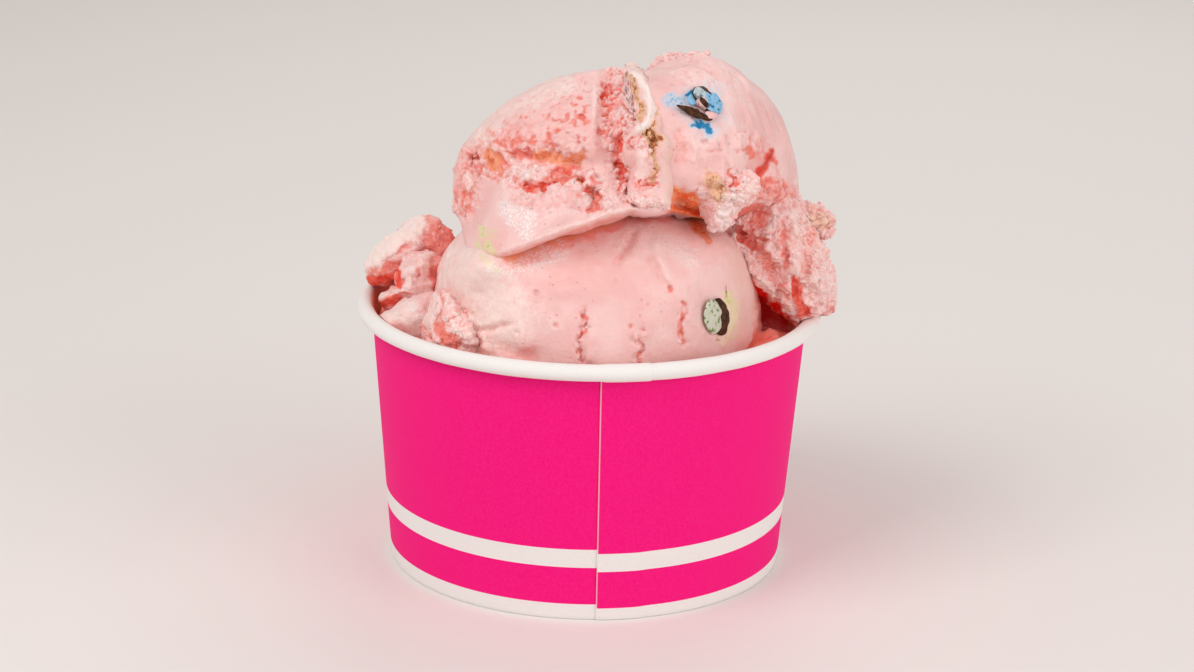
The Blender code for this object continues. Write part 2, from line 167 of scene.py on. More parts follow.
def billows(points: Array, size: float, seed: int, layers: int = 2) -> Array:
    """Rounded puffs with creases between them: layers of noise without its sign, eased in the creases.

    Args:
        points: places in mm.
        size: the first layer's size in mm.
        seed: chooses the set of puffs.
        layers: how many layers there are, each half as large as the one before.

    Returns:
        Values from 0 in the creases to about 1 on the puffs.
    """
    total = np.zeros(len(points))
    for layer in range(layers):
        noise = lattice_noise(points * 2**layer / size, seed + layer)
        total += (np.sqrt(noise**2 + CREASE_EASE**2) - CREASE_EASE) / 1.6**layer
    return total * 2.2 / sum(1 / 1.6**layer for layer in range(layers))


def smooth_step(values: Array, low: float, high: float) -> Array:
    """Rises from 0 at low to 1 at high, eased at both ends; it falls where low is above high.

    Args:
        values: any values.
        low: where the step is 0.
        high: where the step is 1.

    Returns:
        Values from 0 to 1.
    """
    part = np.clip((values - low) / (high - low), 0, 1)
    return part * part * (3 - 2 * part)


def path_distance(places: Array, path: tuple[Place, ...]) -> Array:
    """Measures how far each place is from a path of straight stretches, or from a single point.

    Args:
        places: rows of (across, height).
        path: the path's points.

    Returns:
        Distances in the places' unit.
    """
    corners = np.array(path)
    nearest = np.linalg.norm(places - corners[0], axis=1)
    for start, end in zip(corners[:-1], corners[1:]):
        stretch = end - start
        along = np.clip((places - start) @ stretch / (stretch @ stretch), 0, 1)
        offsets = places - start - along[:, None] * stretch
        nearest = np.minimum(nearest, np.linalg.norm(offsets, axis=1))
    return nearest


def on_sight_lines(places: Array, depth: Array) -> Array:
    """Puts points on the lines of sight through places on the axis plane: eye + (place - eye) x reach.

    Args:
        places: rows of (across, height) in mm.
        depth: how far behind the axis plane each point lies, in mm.

    Returns:
        Points in mm.
    """
    reach = 1 - depth / EYE[1]
    x = EYE[0] + (places[:, 0] - EYE[0]) * reach
    z = EYE[2] + (places[:, 1] - EYE[2]) * reach
    return np.stack([x, depth, z], axis=1)


def ball_grid(steps: int, crowding: float) -> tuple[Array, Array]:
    """Divides a ball like a cube's six faces, crowding the grid to the front: turn - crowding x sin(turn).

    Args:
        steps: squares along a cube's edge.
        crowding: 0 for an even grid, towards 1 for one that is finest at the front, -Y.

    Returns:
        Directions of length 1, and four-sided faces that look outwards.
    """
    ticks = np.tan(np.linspace(-1, 1, steps + 1) * np.pi / 4)
    u, v = np.meshgrid(ticks, ticks, indexing="ij")
    one = np.ones_like(u)
    sides = ((one, u, v), (-one, v, u), (v, one, u), (u, -one, v), (u, v, one), (v, u, -one))
    points = np.concatenate([np.stack(side, axis=-1).reshape(-1, 3) for side in sides])
    corner = np.arange((steps + 1) ** 2).reshape(steps + 1, steps + 1)
    square = np.stack([corner[:-1, :-1], corner[1:, :-1], corner[1:, 1:], corner[:-1, 1:]], axis=-1)
    faces = np.concatenate([square.reshape(-1, 4) + side * corner.size for side in range(len(sides))])
    _, first, index = np.unique(np.round(points, 6), axis=0, return_index=True, return_inverse=True)
    points = points[first] / np.linalg.norm(points[first], axis=1, keepdims=True)
    turn = np.arccos(np.clip(-points[:, 1], -1, 1))
    turned = turn - crowding * np.sin(turn)
    rim = np.maximum(np.hypot(points[:, 0], points[:, 2]), 1e-9)
    points[:, [0, 2]] *= (np.sin(turned) / rim)[:, None]
    points[:, 1] = -np.cos(turned)
    return points, index.reshape(-1)[faces]


def sheet_faces(rows: int, columns: int) -> Array:
    """Joins a grid that closes on itself in both directions with four-sided faces.

    Args:
        rows: points one way, which the faces run along.
        columns: points the other way.

    Returns:
        Rows of four indices, for points in row order.
    """
    corner = np.arange(rows * columns).reshape(rows, columns)
    below = np.roll(corner, -1, axis=0)
    square = (corner, np.roll(corner, -1, axis=1), np.roll(below, -1, axis=1), below)
    return np.stack(square, axis=-1).reshape(-1, 4)


class Trait(Enum):
    """What the ice cream is like at a place, and where shade, light and glints are painted on it. Each is a
    mask from 0 to 1. Pitted only shapes the surface.
    """

    PITTED = "pitted"
    TORN = "torn"
    # Painted shade in creases, pits, hollows and under the parts.
    HOLLOW_SHADE = "hollow_shade"
    # White frost, partly painted glints.
    FROST_AND_GLINT = "ice"
    # Painted red shade in deep gaps and on undersides.
    RED_SHADE = "red_shade"
    TAN = "tan"
    BLUE = "blue"
    OLIVE = "olive"
    # Pale marks: mostly painted light on ridges, lips and lit sides, and a real pale halo.
    PALE_AND_LIT = "pale"
    BEIGE = "beige"
    # Painted warm shade in grooves and under the flap.
    WARM_SHADE = "warm_shade"
    DARK = "dark"
    GREEN = "green"


# Each mesh attribute carries up to three of the masks, in its red, green and blue.
# Hollow, deep and orange hold painted shade, pale mostly painted light, and ice white frost with painted
# glints.
LAYERS: dict[str, tuple[Trait, ...]] = {
    "relief": (Trait.TORN, Trait.HOLLOW_SHADE, Trait.FROST_AND_GLINT),
    "tan_and_shade": (Trait.RED_SHADE, Trait.TAN, Trait.WARM_SHADE),
    "tints_and_lit": (Trait.OLIVE, Trait.PALE_AND_LIT, Trait.BEIGE),
    "sugar": (Trait.BLUE, Trait.DARK, Trait.GREEN),
}


@dataclass
class Surface:
    """A closed surface: points in mm from the tub's axis, faces, and the masks of its traits."""

    points: Array
    faces: Array
    traits: dict[Trait, Array] = field(default_factory=dict)

    def face_normals(self) -> Array:
        """Gives each face's normal, twice as long as its area: the cross product of its diagonals."""
        corners = self.points[self.faces]
        return np.cross(corners[:, 2] - corners[:, 0], corners[:, 3] - corners[:, 1])

    def normals(self) -> Array:
        """Adds up the normals of the faces round each point, and brings the sums to length 1."""
        across = self.face_normals()
        total = np.zeros_like(self.points)
        for side in range(4):
            for axis in range(3):
                total[:, axis] += np.bincount(self.faces[:, side], across[:, axis], len(self.points))
        return total / np.maximum(np.linalg.norm(total, axis=1, keepdims=True), 1e-12)

    def push(self, heights: Array) -> None:
        """Moves each point along its normal by a height in mm."""
        self.points = self.points + self.normals() * heights[:, None]

    def outwards(self) -> Surface:
        """Turns the faces over if they look inwards: if the volume that they enclose is negative."""
        if (self.points[self.faces].mean(axis=1) * self.face_normals()).sum() < 0:
            self.faces = self.faces[:, ::-1]
        return self

    def trait(self, trait: Trait) -> Array:
        """Gives the mask of a trait, or zeros."""
        return self.traits.get(trait, np.zeros(len(self.points)))

    def make_object(self, name: str, material: bpy.types.Material) -> bpy.types.Object:
        """Makes a smooth-shaded mesh object at the origin, with the masks as attributes.

        Args:
            name: the object's name.
            material: its one material.

        Returns:
            The object, riding on the tub's body.
        """
        mesh = bpy.data.meshes.new(name)
        placed = (self.points + (AXIS_X, 0, 0)) * MM
        mesh.from_pydata(placed.tolist(), [], self.faces.tolist())
        mesh.polygons.foreach_set("use_smooth", np.ones(len(self.faces), bool))
        for layer, traits in LAYERS.items():
            values = [self.trait(trait) for trait in traits] + [np.ones(len(self.points))]
            attribute = mesh.attributes.new(layer, "FLOAT_COLOR", "POINT")
            attribute.data.foreach_set("color", np.stack(values, axis=1).astype(np.float32).ravel())
        mesh.materials.append(material)
        obj = bpy.data.objects.new(name, mesh)
        bpy.context.scene.collection.objects.link(obj)
        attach(obj, "root")
        LOG.info("%s: %d triangles", name, 2 * len(self.faces))
        return obj


@dataclass(frozen=True)
class Stroke:
    """A groove, a ridge or a painted streak along a path.

    It rises towards EYE by rise mm and fades over width mm. Each trait in paint covers it by a strength
    from 0 to 1, and a strength below 0 takes that much of the trait away. Ragged is how far its edges
    stray, in mm.
    """

    path: tuple[Place, ...]
    width: float
    rise: float = 0.0
    ragged: float = 0.0
    paint: dict[Trait, float] = field(default_factory=dict)

    def height(self, places: Array, strays: Array) -> Array:
        """Works out how far it rises at each place: rise x exp(-(distance / width) squared)."""
        distance = path_distance(places + strays * self.ragged, self.path)
        return self.rise * np.exp(-((distance / self.width) ** 2))

    def cover(self, places: Array, strays: Array) -> Array:
        """Works out its mask: 1 within half its width, 0 beyond one and a half, with a stray edge."""
        distance = path_distance(places + strays * min(0.5 * self.width + 0.2, 1.0), self.path)
        return smooth_step(distance, 1.5 * self.width, 0.5 * self.width)


@dataclass(frozen=True)
class Grain:
    """How rough the ice cream is. Sizes and heights are in mm; torn is how much of it is torn all over,
    and crease is how much painted shade the creases between its puffs take.

    Its clumps are drawn out by streak times along a direction in degrees from across.
    """

    torn: float = 0.0
    soft: float = 0.22
    soft_size: float = 7.0
    clump: float = 1.5
    clump_size: float = 3.2
    crumb: float = 0.55
    crumb_size: float = 1.1
    crease_shade: float = 0.4
    streak: float = 1.0
    streak_degrees: float = 0.0

    def drawn_out(self, points: Array) -> Array:
        """Squeezes places along the streaks, so that noise on them is drawn out."""
        turn = math.radians(self.streak_degrees)
        along = np.array((math.cos(turn), 0.0, math.sin(turn)))
        return points - np.outer(points @ along, along) * (1 - 1 / self.streak)


@dataclass(frozen=True)
class Lump:
    """A lump of ice cream, with the same form as its solid.

    Its outline lies at depth, or as far from the front of the lump that it rides on; it bulges by front
    and back from there, and its edge leans by the (degrees, mm) pairs of lean. Depths are in mm, less
    being nearer to EYE.
    """

    outline: tuple[Place, ...]
    centre: Place
    depth: float
    front: float
    back: float
    rides: Lump | None = None
    lean: tuple[Place, ...] = ((0.0, 0.0),)
    swell: float = 0.0
    grain: float = 6.0
    seed: int = 1
    strokes: tuple[Stroke, ...] = ()

    @staticmethod
    def eased(angles: Array, known_degrees: Array, known_values: Array) -> Array:
        """Reads values between known angles, as the mean of three readings a few degrees apart."""
        steps = (-EASE_DEGREES, 0.0, EASE_DEGREES)
        degrees = np.degrees(angles)
        readings = [np.interp(degrees + step, known_degrees, known_values, period=360.0) for step in steps]
        return np.mean(readings, axis=0)

    def reach(self, angles: Array) -> Array:
        """Measures how far the outline is from the centre at each angle, in mm."""
        offsets = np.array(self.outline) - self.centre
        corners = np.degrees(np.arctan2(offsets[:, 1], offsets[:, 0]))
        return self.eased(angles, corners, np.hypot(offsets[:, 0], offsets[:, 1]))

    def bare_depth(self, angles: Array, level: Array, forward: Array) -> Array:
        """Gives depths without strokes: own depth - bulge x forward + lean x level squared.

        Args:
            angles: directions round the centre, in radians.
            level: 0 at the lump's middle and 1 at its outline.
            forward: 1 at its front and -1 at its back.

        Returns:
            Depths in mm.
        """
        bulge = np.where(forward > 0, self.front, self.back)
        degrees, leans = np.array(self.lean).T
        return self.depth - bulge * forward + self.eased(angles, degrees, leans) * level**2

    def front_depth(self, places: Array) -> Array:
        """Gives the depth of the lump's front at places (across, height), in mm."""
        offsets = places - self.centre
        angles = np.arctan2(offsets[:, 1], offsets[:, 0])
        level = np.clip(np.hypot(offsets[:, 0], offsets[:, 1]) / self.reach(angles), 0, 1)
        return self.bare_depth(angles, level, np.sqrt(1 - level**2))

    def surface(self, steps: int, details: tuple[Stroke, ...]) -> tuple[Surface, Array, Array]:
        """Works the lump out from the directions of a ball.

        Across and height are centre + reach x level, where level is the sine of the turn from the line
        of sight. The depth is the bare depth less what the strokes rise, and noise swells the whole.

        Args:
            steps: how fine the ball's grid is.
            details: more strokes, too small for the solid.

        Returns:
            The surface, the (across, height) of its points, and how far each looks forward.
        """
        directions, faces = ball_grid(steps, crowding=0.3)
        level = np.hypot(directions[:, 0], directions[:, 2])
        angles = np.arctan2(directions[:, 2], directions[:, 0])
        reach = self.reach(angles) * level
        places = np.stack([np.cos(angles), np.sin(angles)], axis=1) * reach[:, None] + self.centre
        forward = -directions[:, 1]
        depth = self.bare_depth(angles, level, forward)
        if self.rides:
            depth += self.rides.front_depth(places)
        strays = wander(np.insert(places, 2, 0.0, axis=1), 1.6, self.seed)[:, :2]
        for stroke in self.strokes + details:
            depth -= np.clip(forward / STROKE_FACING, 0, 1) * stroke.height(places, strays)
        points = on_sight_lines(places, depth)
        outward = points - points.mean(axis=0)
        outward /= np.linalg.norm(outward, axis=1, keepdims=True)
        waves = lattice_noise(points / self.grain, self.seed) * self.swell
        return Surface(points + outward * waves[:, None], faces), places, forward


def tone(red: int, green: int, blue: int) -> Colour:
    """Turns a colour as seen on a screen, 0 to 255, into the shader's linear values."""
    values = [part / 255 for part in (red, green, blue)]
    linear = [v / 12.92 if v <= 0.04045 else ((v + 0.055) / 1.055) ** 2.4 for v in values]
    return (linear[0], linear[1], linear[2])


class Bench:
    """Places and wires shader nodes in one tree."""

    def __init__(self, tree: bpy.types.NodeTree) -> None:
        """Works in the given tree."""
        self.tree = tree

    def node(self, kind: str, **values: object) -> bpy.types.Node:
        """Adds a node. A socket among the values is linked to the input of that name, and others are set."""
        node = self.tree.nodes.new(kind)
        for name, value in values.items():
            self.set(node.inputs[name.replace("_", " ")], value)
        return node

    def set(self, target: bpy.types.NodeSocket, value: object) -> None:
        """Links a socket to the target, or sets the target's own value."""
        if isinstance(value, bpy.types.NodeSocket):
            self.tree.links.new(value, target)
        else:
            target.default_value = (*value, 1.0) if target.type == "RGBA" and len(value) == 3 else value

    def sums(self, operation: str, *values: object) -> bpy.types.NodeSocket:
        """Adds a Math node on two or three values and gives its output."""
        node = self.tree.nodes.new("ShaderNodeMath")
        node.operation = operation
        for target, value in zip(node.inputs, values):
            self.set(target, value)
        return node.outputs[0]

    def step(self, value: object, low: float, high: float) -> bpy.types.NodeSocket:
        """Adds an eased step from 0 at low to 1 at high."""
        node = self.tree.nodes.new("ShaderNodeMapRange")
        node.interpolation_type = "SMOOTHSTEP"
        self.set(node.inputs["Value"], value)
        node.inputs["From Min"].default_value = low
        node.inputs["From Max"].default_value = high
        return node.outputs["Result"]

    def mix(self, amount: object, first: object, second: object) -> bpy.types.NodeSocket:
        """Mixes two colours by an amount from 0 to 1."""
        node = self.tree.nodes.new("ShaderNodeMix")
        node.data_type = "RGBA"
        factor, *_ = (socket for socket in node.inputs if socket.name == "Factor")
        colours = [socket for socket in node.inputs if socket.type == "RGBA"]
        self.set(factor, amount)
        self.set(colours[0], first)
        self.set(colours[1], second)
        return next(socket for socket in node.outputs if socket.type == "RGBA")

    def noise(self, coords: object, size: float, detail: float = 2.0) -> bpy.types.NodeSocket:
        """Adds noise of a size in metres on Object coordinates, and gives its value, about 0.25 to 0.75."""
        node = self.node("ShaderNodeTexNoise", Vector=coords, Scale=1 / size, Detail=detail)
        return node.outputs[0]

    def cells(self, coords: object, size: float) -> bpy.types.NodeSocket:
        """Adds scattered cells of a size in metres, and gives the distance to the nearest centre."""
        return self.node("ShaderNodeTexVoronoi", Vector=coords, Scale=1 / size).outputs["Distance"]


def start_group(
    name: str, inputs: dict[str, str], outputs: dict[str, str]
) -> tuple[Bench, bpy.types.Node, bpy.types.Node]:
    """Starts a shader node group.

    Args:
        name: the group's name.
        inputs: socket types by name.
        outputs: socket types by name.

    Returns:
        A bench in the group, its input node and its output node.
    """
    tree = bpy.data.node_groups.new(name, "ShaderNodeTree")
    for in_out, sockets in (("INPUT", inputs), ("OUTPUT", outputs)):
        for socket, kind in sockets.items():
            tree.interface.new_socket(socket, in_out=in_out, socket_type=kind)
    return Bench(tree), tree.nodes.new("NodeGroupInput"), tree.nodes.new("NodeGroupOutput")


def start_material(name: str) -> tuple[bpy.types.Material, Bench, bpy.types.Node]:
    """Starts a material and gives it, a bench in it and its Principled BSDF."""
    material = bpy.data.materials.new(name)
    material.use_nodes = True
    tree = material.node_tree
    return material, Bench(tree), tree.nodes["Principled BSDF"]


COLOUR = "NodeSocketColor"
VALUE = "NodeSocketFloat"
VECTOR = "NodeSocketVector"


def fine_grain_group() -> bpy.types.NodeTree:
    """Builds the group that every finish takes its fine grain from.

    It puts out a height in mm, layered noise x strength, and the same noise as a mask from 0 to 1.
    """
    bench, given, result = start_group(
        "fine_grain",
        {"Coordinates": VECTOR, "Scale": VALUE, "Strength": VALUE},
        {"Mask": VALUE, "Height": VALUE},
    )
    noise = bench.node(
        "ShaderNodeTexNoise", Vector=given.outputs["Coordinates"], Scale=given.outputs["Scale"], Detail=4.0
    ).outputs[0]
    mask = bench.step(noise, 0.3, 0.7)
    bench.set(result.inputs["Mask"], mask)
    bench.set(result.inputs["Height"], bench.sums("MULTIPLY", mask, given.outputs["Strength"]))
    return bench.tree


@dataclass(frozen=True)
class IceCreamFinish:
    """Pink ice cream: moist where smooth, frosted where torn, with painted shade in its hollows, creases and
    undersides, painted light on ridges and lit sides, painted glints where icy, and marks of dye, chocolate
    and caramel.
    """

    name: str = "pink_ice_cream"
    smooth: Colour = tone(247, 204, 200)
    smooth_shade: Colour = tone(242, 190, 186)
    torn: Colour = tone(243, 168, 160)
    crest: Colour = tone(253, 220, 217)
    # Painted shade: a colour for creases and pits, one for deeper hollows, and a deep red for gaps and
    # undersides.
    fold: Colour = tone(242, 128, 112)
    hollow_shade: Colour = tone(240, 80, 56)
    red_shade: Colour = tone(250, 14, 6)
    tan: Colour = tone(240, 190, 150)
    brown: Colour = tone(178, 106, 62)
    # Painted warm shade, faint and strong, for grooves and the crease under the flap.
    faint_warm_shade: Colour = tone(248, 168, 128)
    warm_shade: Colour = tone(242, 98, 40)
    blue: Colour = tone(20, 132, 186)
    pale_blue: Colour = tone(188, 214, 232)
    olive: Colour = tone(198, 200, 112)
    halo: Colour = tone(232, 216, 172)
    leaf: Colour = tone(140, 158, 82)
    dark: Colour = tone(62, 44, 32)
    # Mostly painted light on ridges, lips and lit sides; also a real pale halo.
    pale: Colour = tone(254, 227, 220)
    beige: Colour = tone(236, 206, 190)
    # White frost, partly painted glints on its crystals.
    ice: Colour = tone(255, 250, 248)
    softness: float = 0.35
    soft_reach: float = 0.0006

    def surface_group(self) -> bpy.types.NodeTree:
        """Builds the group that turns the masks into a colour, a roughness and a height in mm.

        The colour starts between the two smooth ones by slow noise, and goes to the torn ones by the
        torn mask. Painted shade in pits and hollows takes it to the fold colour and then to the hollow
        one. Each mark then covers it by its mask, its faint colour first and its strong one where fine
        noise is high: real stains, painted red and warm shade, and pale marks that are mostly painted
        light. Icy places go towards white, with painted glints.
        """
        bench, given, result = start_group(
            "ice_cream_surface",
            {"Coordinates": VECTOR} | {layer.capitalize(): COLOUR for layer in LAYERS},
            {"Colour": COLOUR, "Roughness": VALUE, "Height": VALUE},
        )
        coords = given.outputs["Coordinates"]
        masks: dict[Trait, bpy.types.NodeSocket] = {}
        for layer, traits in LAYERS.items():
            parts = bench.node("ShaderNodeSeparateColor", Color=given.outputs[layer.capitalize()])
            masks.update(zip(traits, parts.outputs))
        slow = bench.noise(coords, 0.0065)
        fine = bench.noise(coords, 0.0013, 4.0)
        speck = bench.noise(coords, 0.0005, 1.0)
        pits = bench.sums(
            "MULTIPLY",
            bench.step(bench.cells(coords, 0.0013), 0.2, 0.05),
            bench.step(bench.noise(coords, 0.006), 0.44, 0.6),
        )
        torn, hollow_shade = masks[Trait.TORN], masks[Trait.HOLLOW_SHADE]

        colour = bench.mix(bench.step(slow, 0.35, 0.65), self.smooth, self.smooth_shade)
        patchy = bench.sums("ADD", bench.sums("MULTIPLY", fine, 0.6), bench.sums("MULTIPLY", speck, 0.4))
        crumbled = bench.mix(bench.step(patchy, 0.36, 0.56), self.torn, self.crest)
        # Painted shade in the pits.
        colour = bench.mix(bench.sums("MULTIPLY", pits, 0.3), colour, self.fold)
        colour = bench.mix(bench.sums("MULTIPLY", torn, 0.85), colour, crumbled)
        # Painted shade: hollows, with a little fine noise, go to the crease colour and then to the hollow
        # colour.
        sunk = bench.sums("ADD", hollow_shade, bench.sums("MULTIPLY", bench.sums("SUBTRACT", fine, 0.5), 0.5))
        colour = bench.mix(bench.sums("MULTIPLY", bench.step(sunk, 0.05, 0.55), 0.85), colour, self.fold)
        colour = bench.mix(bench.sums("MULTIPLY", bench.step(sunk, 0.5, 1.05), 0.8), colour, self.hollow_shade)
        # Marks by their masks: real stains of dye, chocolate and caramel, painted red and warm shade, and
        # pale marks that are mostly painted light.
        for trait, faint, strong, low, high in (
            (Trait.BEIGE, self.beige, self.beige, 0.3, 0.6),
            (Trait.PALE_AND_LIT, self.pale, self.pale, 0.3, 0.6),
            (Trait.OLIVE, self.halo, self.olive, 0.4, 0.6),
            (Trait.TAN, self.tan, self.brown, 0.36, 0.52),
            (Trait.WARM_SHADE, self.faint_warm_shade, self.warm_shade, 0.34, 0.6),
            (Trait.BLUE, self.pale_blue, self.blue, 0.3, 0.5),
            (Trait.RED_SHADE, self.hollow_shade, self.red_shade, 0.2, 0.5),
            (Trait.GREEN, self.olive, self.leaf, 0.4, 0.55),
            (Trait.DARK, self.brown, self.dark, 0.25, 0.45),
        ):
            mask = masks[trait]
            stain_and_shade = bench.mix(bench.step(bench.sums("MULTIPLY", mask, patchy), low, high), faint, strong)
            reach = bench.sums("ADD", mask, bench.sums("MULTIPLY", bench.sums("SUBTRACT", patchy, 0.5), 1.3))
            edge = bench.sums("MULTIPLY", bench.step(reach, 0.05, 0.95), bench.step(mask, 0.0, 0.35))
            colour = bench.mix(edge, colour, stain_and_shade)
        # Painted glints: white specks on icy places, over a frosted white.
        painted_glints = bench.step(bench.noise(coords, 0.0004, 3.0), 0.47, 0.62)
        frost_and_glints = bench.sums("MULTIPLY", masks[Trait.FROST_AND_GLINT], bench.sums("MULTIPLY_ADD", painted_glints, 0.55, 0.3))
        colour = bench.mix(frost_and_glints, colour, self.ice)
        bench.set(result.inputs["Colour"], colour)

        rough = bench.sums("MULTIPLY_ADD", torn, 0.26, 0.38)
        rough = bench.sums("SUBTRACT", rough, bench.sums("MULTIPLY", masks[Trait.FROST_AND_GLINT], 0.16))
        rough = bench.sums("ADD", rough, bench.sums("MULTIPLY", bench.sums("SUBTRACT", fine, 0.5), 0.3))
        bench.set(result.inputs["Roughness"], rough)

        height = bench.sums("MULTIPLY", speck, bench.sums("MULTIPLY_ADD", masks[Trait.FROST_AND_GLINT], 0.2, 0.07))
        bumps = bench.sums("MULTIPLY", fine, bench.sums("MULTIPLY_ADD", torn, 0.18, 0.15))
        height = bench.sums("ADD", height, bumps)
        height = bench.sums("SUBTRACT", height, bench.sums("MULTIPLY", pits, 0.12))
        bench.set(result.inputs["Height"], height)
        return bench.tree

    def material(self) -> bpy.types.Material:
        """Makes the material from the group and the meshes' four attributes."""
        material, bench, shader = start_material(self.name)
        group = bench.node("ShaderNodeGroup")
        group.node_tree = self.surface_group()
        bench.set(group.inputs["Coordinates"], bench.node("ShaderNodeTexCoord").outputs["Object"])
        for layer in LAYERS:
            attribute = bench.node("ShaderNodeAttribute")
            attribute.attribute_name = layer
            bench.set(group.inputs[layer.capitalize()], attribute.outputs["Color"])
        bump = bench.node("ShaderNodeBump", Height=group.outputs["Height"], Distance=MM, Strength=1.0)
        bench.set(shader.inputs["Base Color"], group.outputs["Colour"])
        bench.set(shader.inputs["Roughness"], group.outputs["Roughness"])
        bench.set(shader.inputs["Normal"], bump.outputs["Normal"])
        shader.inputs["Subsurface Weight"].default_value = self.softness
        shader.inputs["Subsurface Radius"].default_value = (1.0, 0.6, 0.5)
        shader.inputs["Subsurface Scale"].default_value = self.soft_reach
        shader.inputs["IOR"].default_value = 1.36
        return material


@dataclass(frozen=True)
class PrintedPaperFinish:
    """Satin paper, printed in flat bands outside; the attribute "print" holds the height on the sheet
    in red, what is bare paper in green and how much of a coral colour the inner wall takes in blue."""

    name: str = "printed_paper"
    ink: Colour = tone(250, 8, 127)
    bare: Colour = tone(242, 240, 236)
    cut: Colour = tone(255, 120, 176)
    # The coral colour that the inner wall takes below the bead, strongest at the left.
    inner_wall_coral: Colour = tone(252, 150, 122)
    hem: float = 3.10
    stripe: tuple[float, float] = (10.37, 13.93)
    edge: float = 0.04
    fibre_scale: float = 2600.0
    fibre_height: float = 0.012
    roughness: float = 0.6
    gloss: float = 0.1

    def material(self, grain: bpy.types.NodeTree) -> bpy.types.Material:
        """Makes the material: ink between the hem, the stripe and the rim, and bare paper elsewhere."""
        material, bench, shader = start_material(self.name)
        attribute = bench.node("ShaderNodeAttribute")
        attribute.attribute_name = "print"
        parts = bench.node("ShaderNodeSeparateColor", Color=attribute.outputs["Color"])
        height = bench.sums("MULTIPLY", parts.outputs[0], PRINT_SPAN)
        above_hem = bench.step(height, self.hem - self.edge, self.hem + self.edge)
        in_stripe = bench.sums(
            "MULTIPLY",
            bench.step(height, self.stripe[0] - self.edge, self.stripe[0] + self.edge),
            bench.step(height, self.stripe[1] + self.edge, self.stripe[1] - self.edge),
        )
        inked = bench.sums("MULTIPLY", above_hem, bench.sums("SUBTRACT", 1.0, in_stripe))
        fibres = bench.node("ShaderNodeGroup")
        fibres.node_tree = grain
        bench.set(fibres.inputs["Coordinates"], bench.node("ShaderNodeTexCoord").outputs["Object"])
        fibres.inputs["Scale"].default_value = self.fibre_scale
        fibres.inputs["Strength"].default_value = self.fibre_height
        ink = bench.mix(bench.sums("MULTIPLY", fibres.outputs["Mask"], 0.07), self.ink, self.cut)
        bare = bench.mix(bench.sums("MULTIPLY", fibres.outputs["Mask"], 0.05), self.bare, self.cut)
        colour = bench.mix(inked, bare, ink)
        colour = bench.mix(parts.outputs[1], colour, bare)
        # The inner wall's coral, from the blue of "print".
        colour = bench.mix(parts.outputs[2], colour, self.inner_wall_coral)
        rough = bench.sums("ADD", bench.sums("MULTIPLY", fibres.outputs["Mask"], 0.08), self.roughness)
        bump = bench.node("ShaderNodeBump", Height=fibres.outputs["Height"], Distance=MM, Strength=0.6)
        bench.set(shader.inputs["Base Color"], colour)
        bench.set(shader.inputs["Roughness"], rough)
        bench.set(shader.inputs["Normal"], bump.outputs["Normal"])
        shader.inputs["Specular IOR Level"].default_value = self.gloss
        return material


@dataclass(frozen=True)
class CandyFinish:
    """Sugar shell, chocolate or plain paper: two shades broken up by noise, with flecks where it is worn."""

    name: str
    main: Colour
    worn: Colour
    grain_size: float = 0.9
    roughness: float = 0.5
    height: float = 0.08
    flecks: Colour | None = None
    gloss: float = 0.5

    def material(self, grain: bpy.types.NodeTree) -> bpy.types.Material:
        """Makes the material, with its grain from the shared group."""
        material, bench, shader = start_material(self.name)
        crumbs = bench.node("ShaderNodeGroup")
        crumbs.node_tree = grain
        bench.set(crumbs.inputs["Coordinates"], bench.node("ShaderNodeTexCoord").outputs["Object"])
        crumbs.inputs["Scale"].default_value = 1 / (self.grain_size * MM)
        crumbs.inputs["Strength"].default_value = self.height
        bump = bench.node("ShaderNodeBump", Height=crumbs.outputs["Height"], Distance=MM, Strength=1.0)
        colour = bench.mix(crumbs.outputs["Mask"], self.worn, self.main)
        if self.flecks:
            colour = bench.mix(bench.step(crumbs.outputs["Mask"], 0.3, 0.12), colour, self.flecks)
        bench.set(shader.inputs["Base Color"], colour)
        bench.set(shader.inputs["Normal"], bump.outputs["Normal"])
        shader.inputs["Roughness"].default_value = self.roughness
        shader.inputs["Specular IOR Level"].default_value = self.gloss
        return material


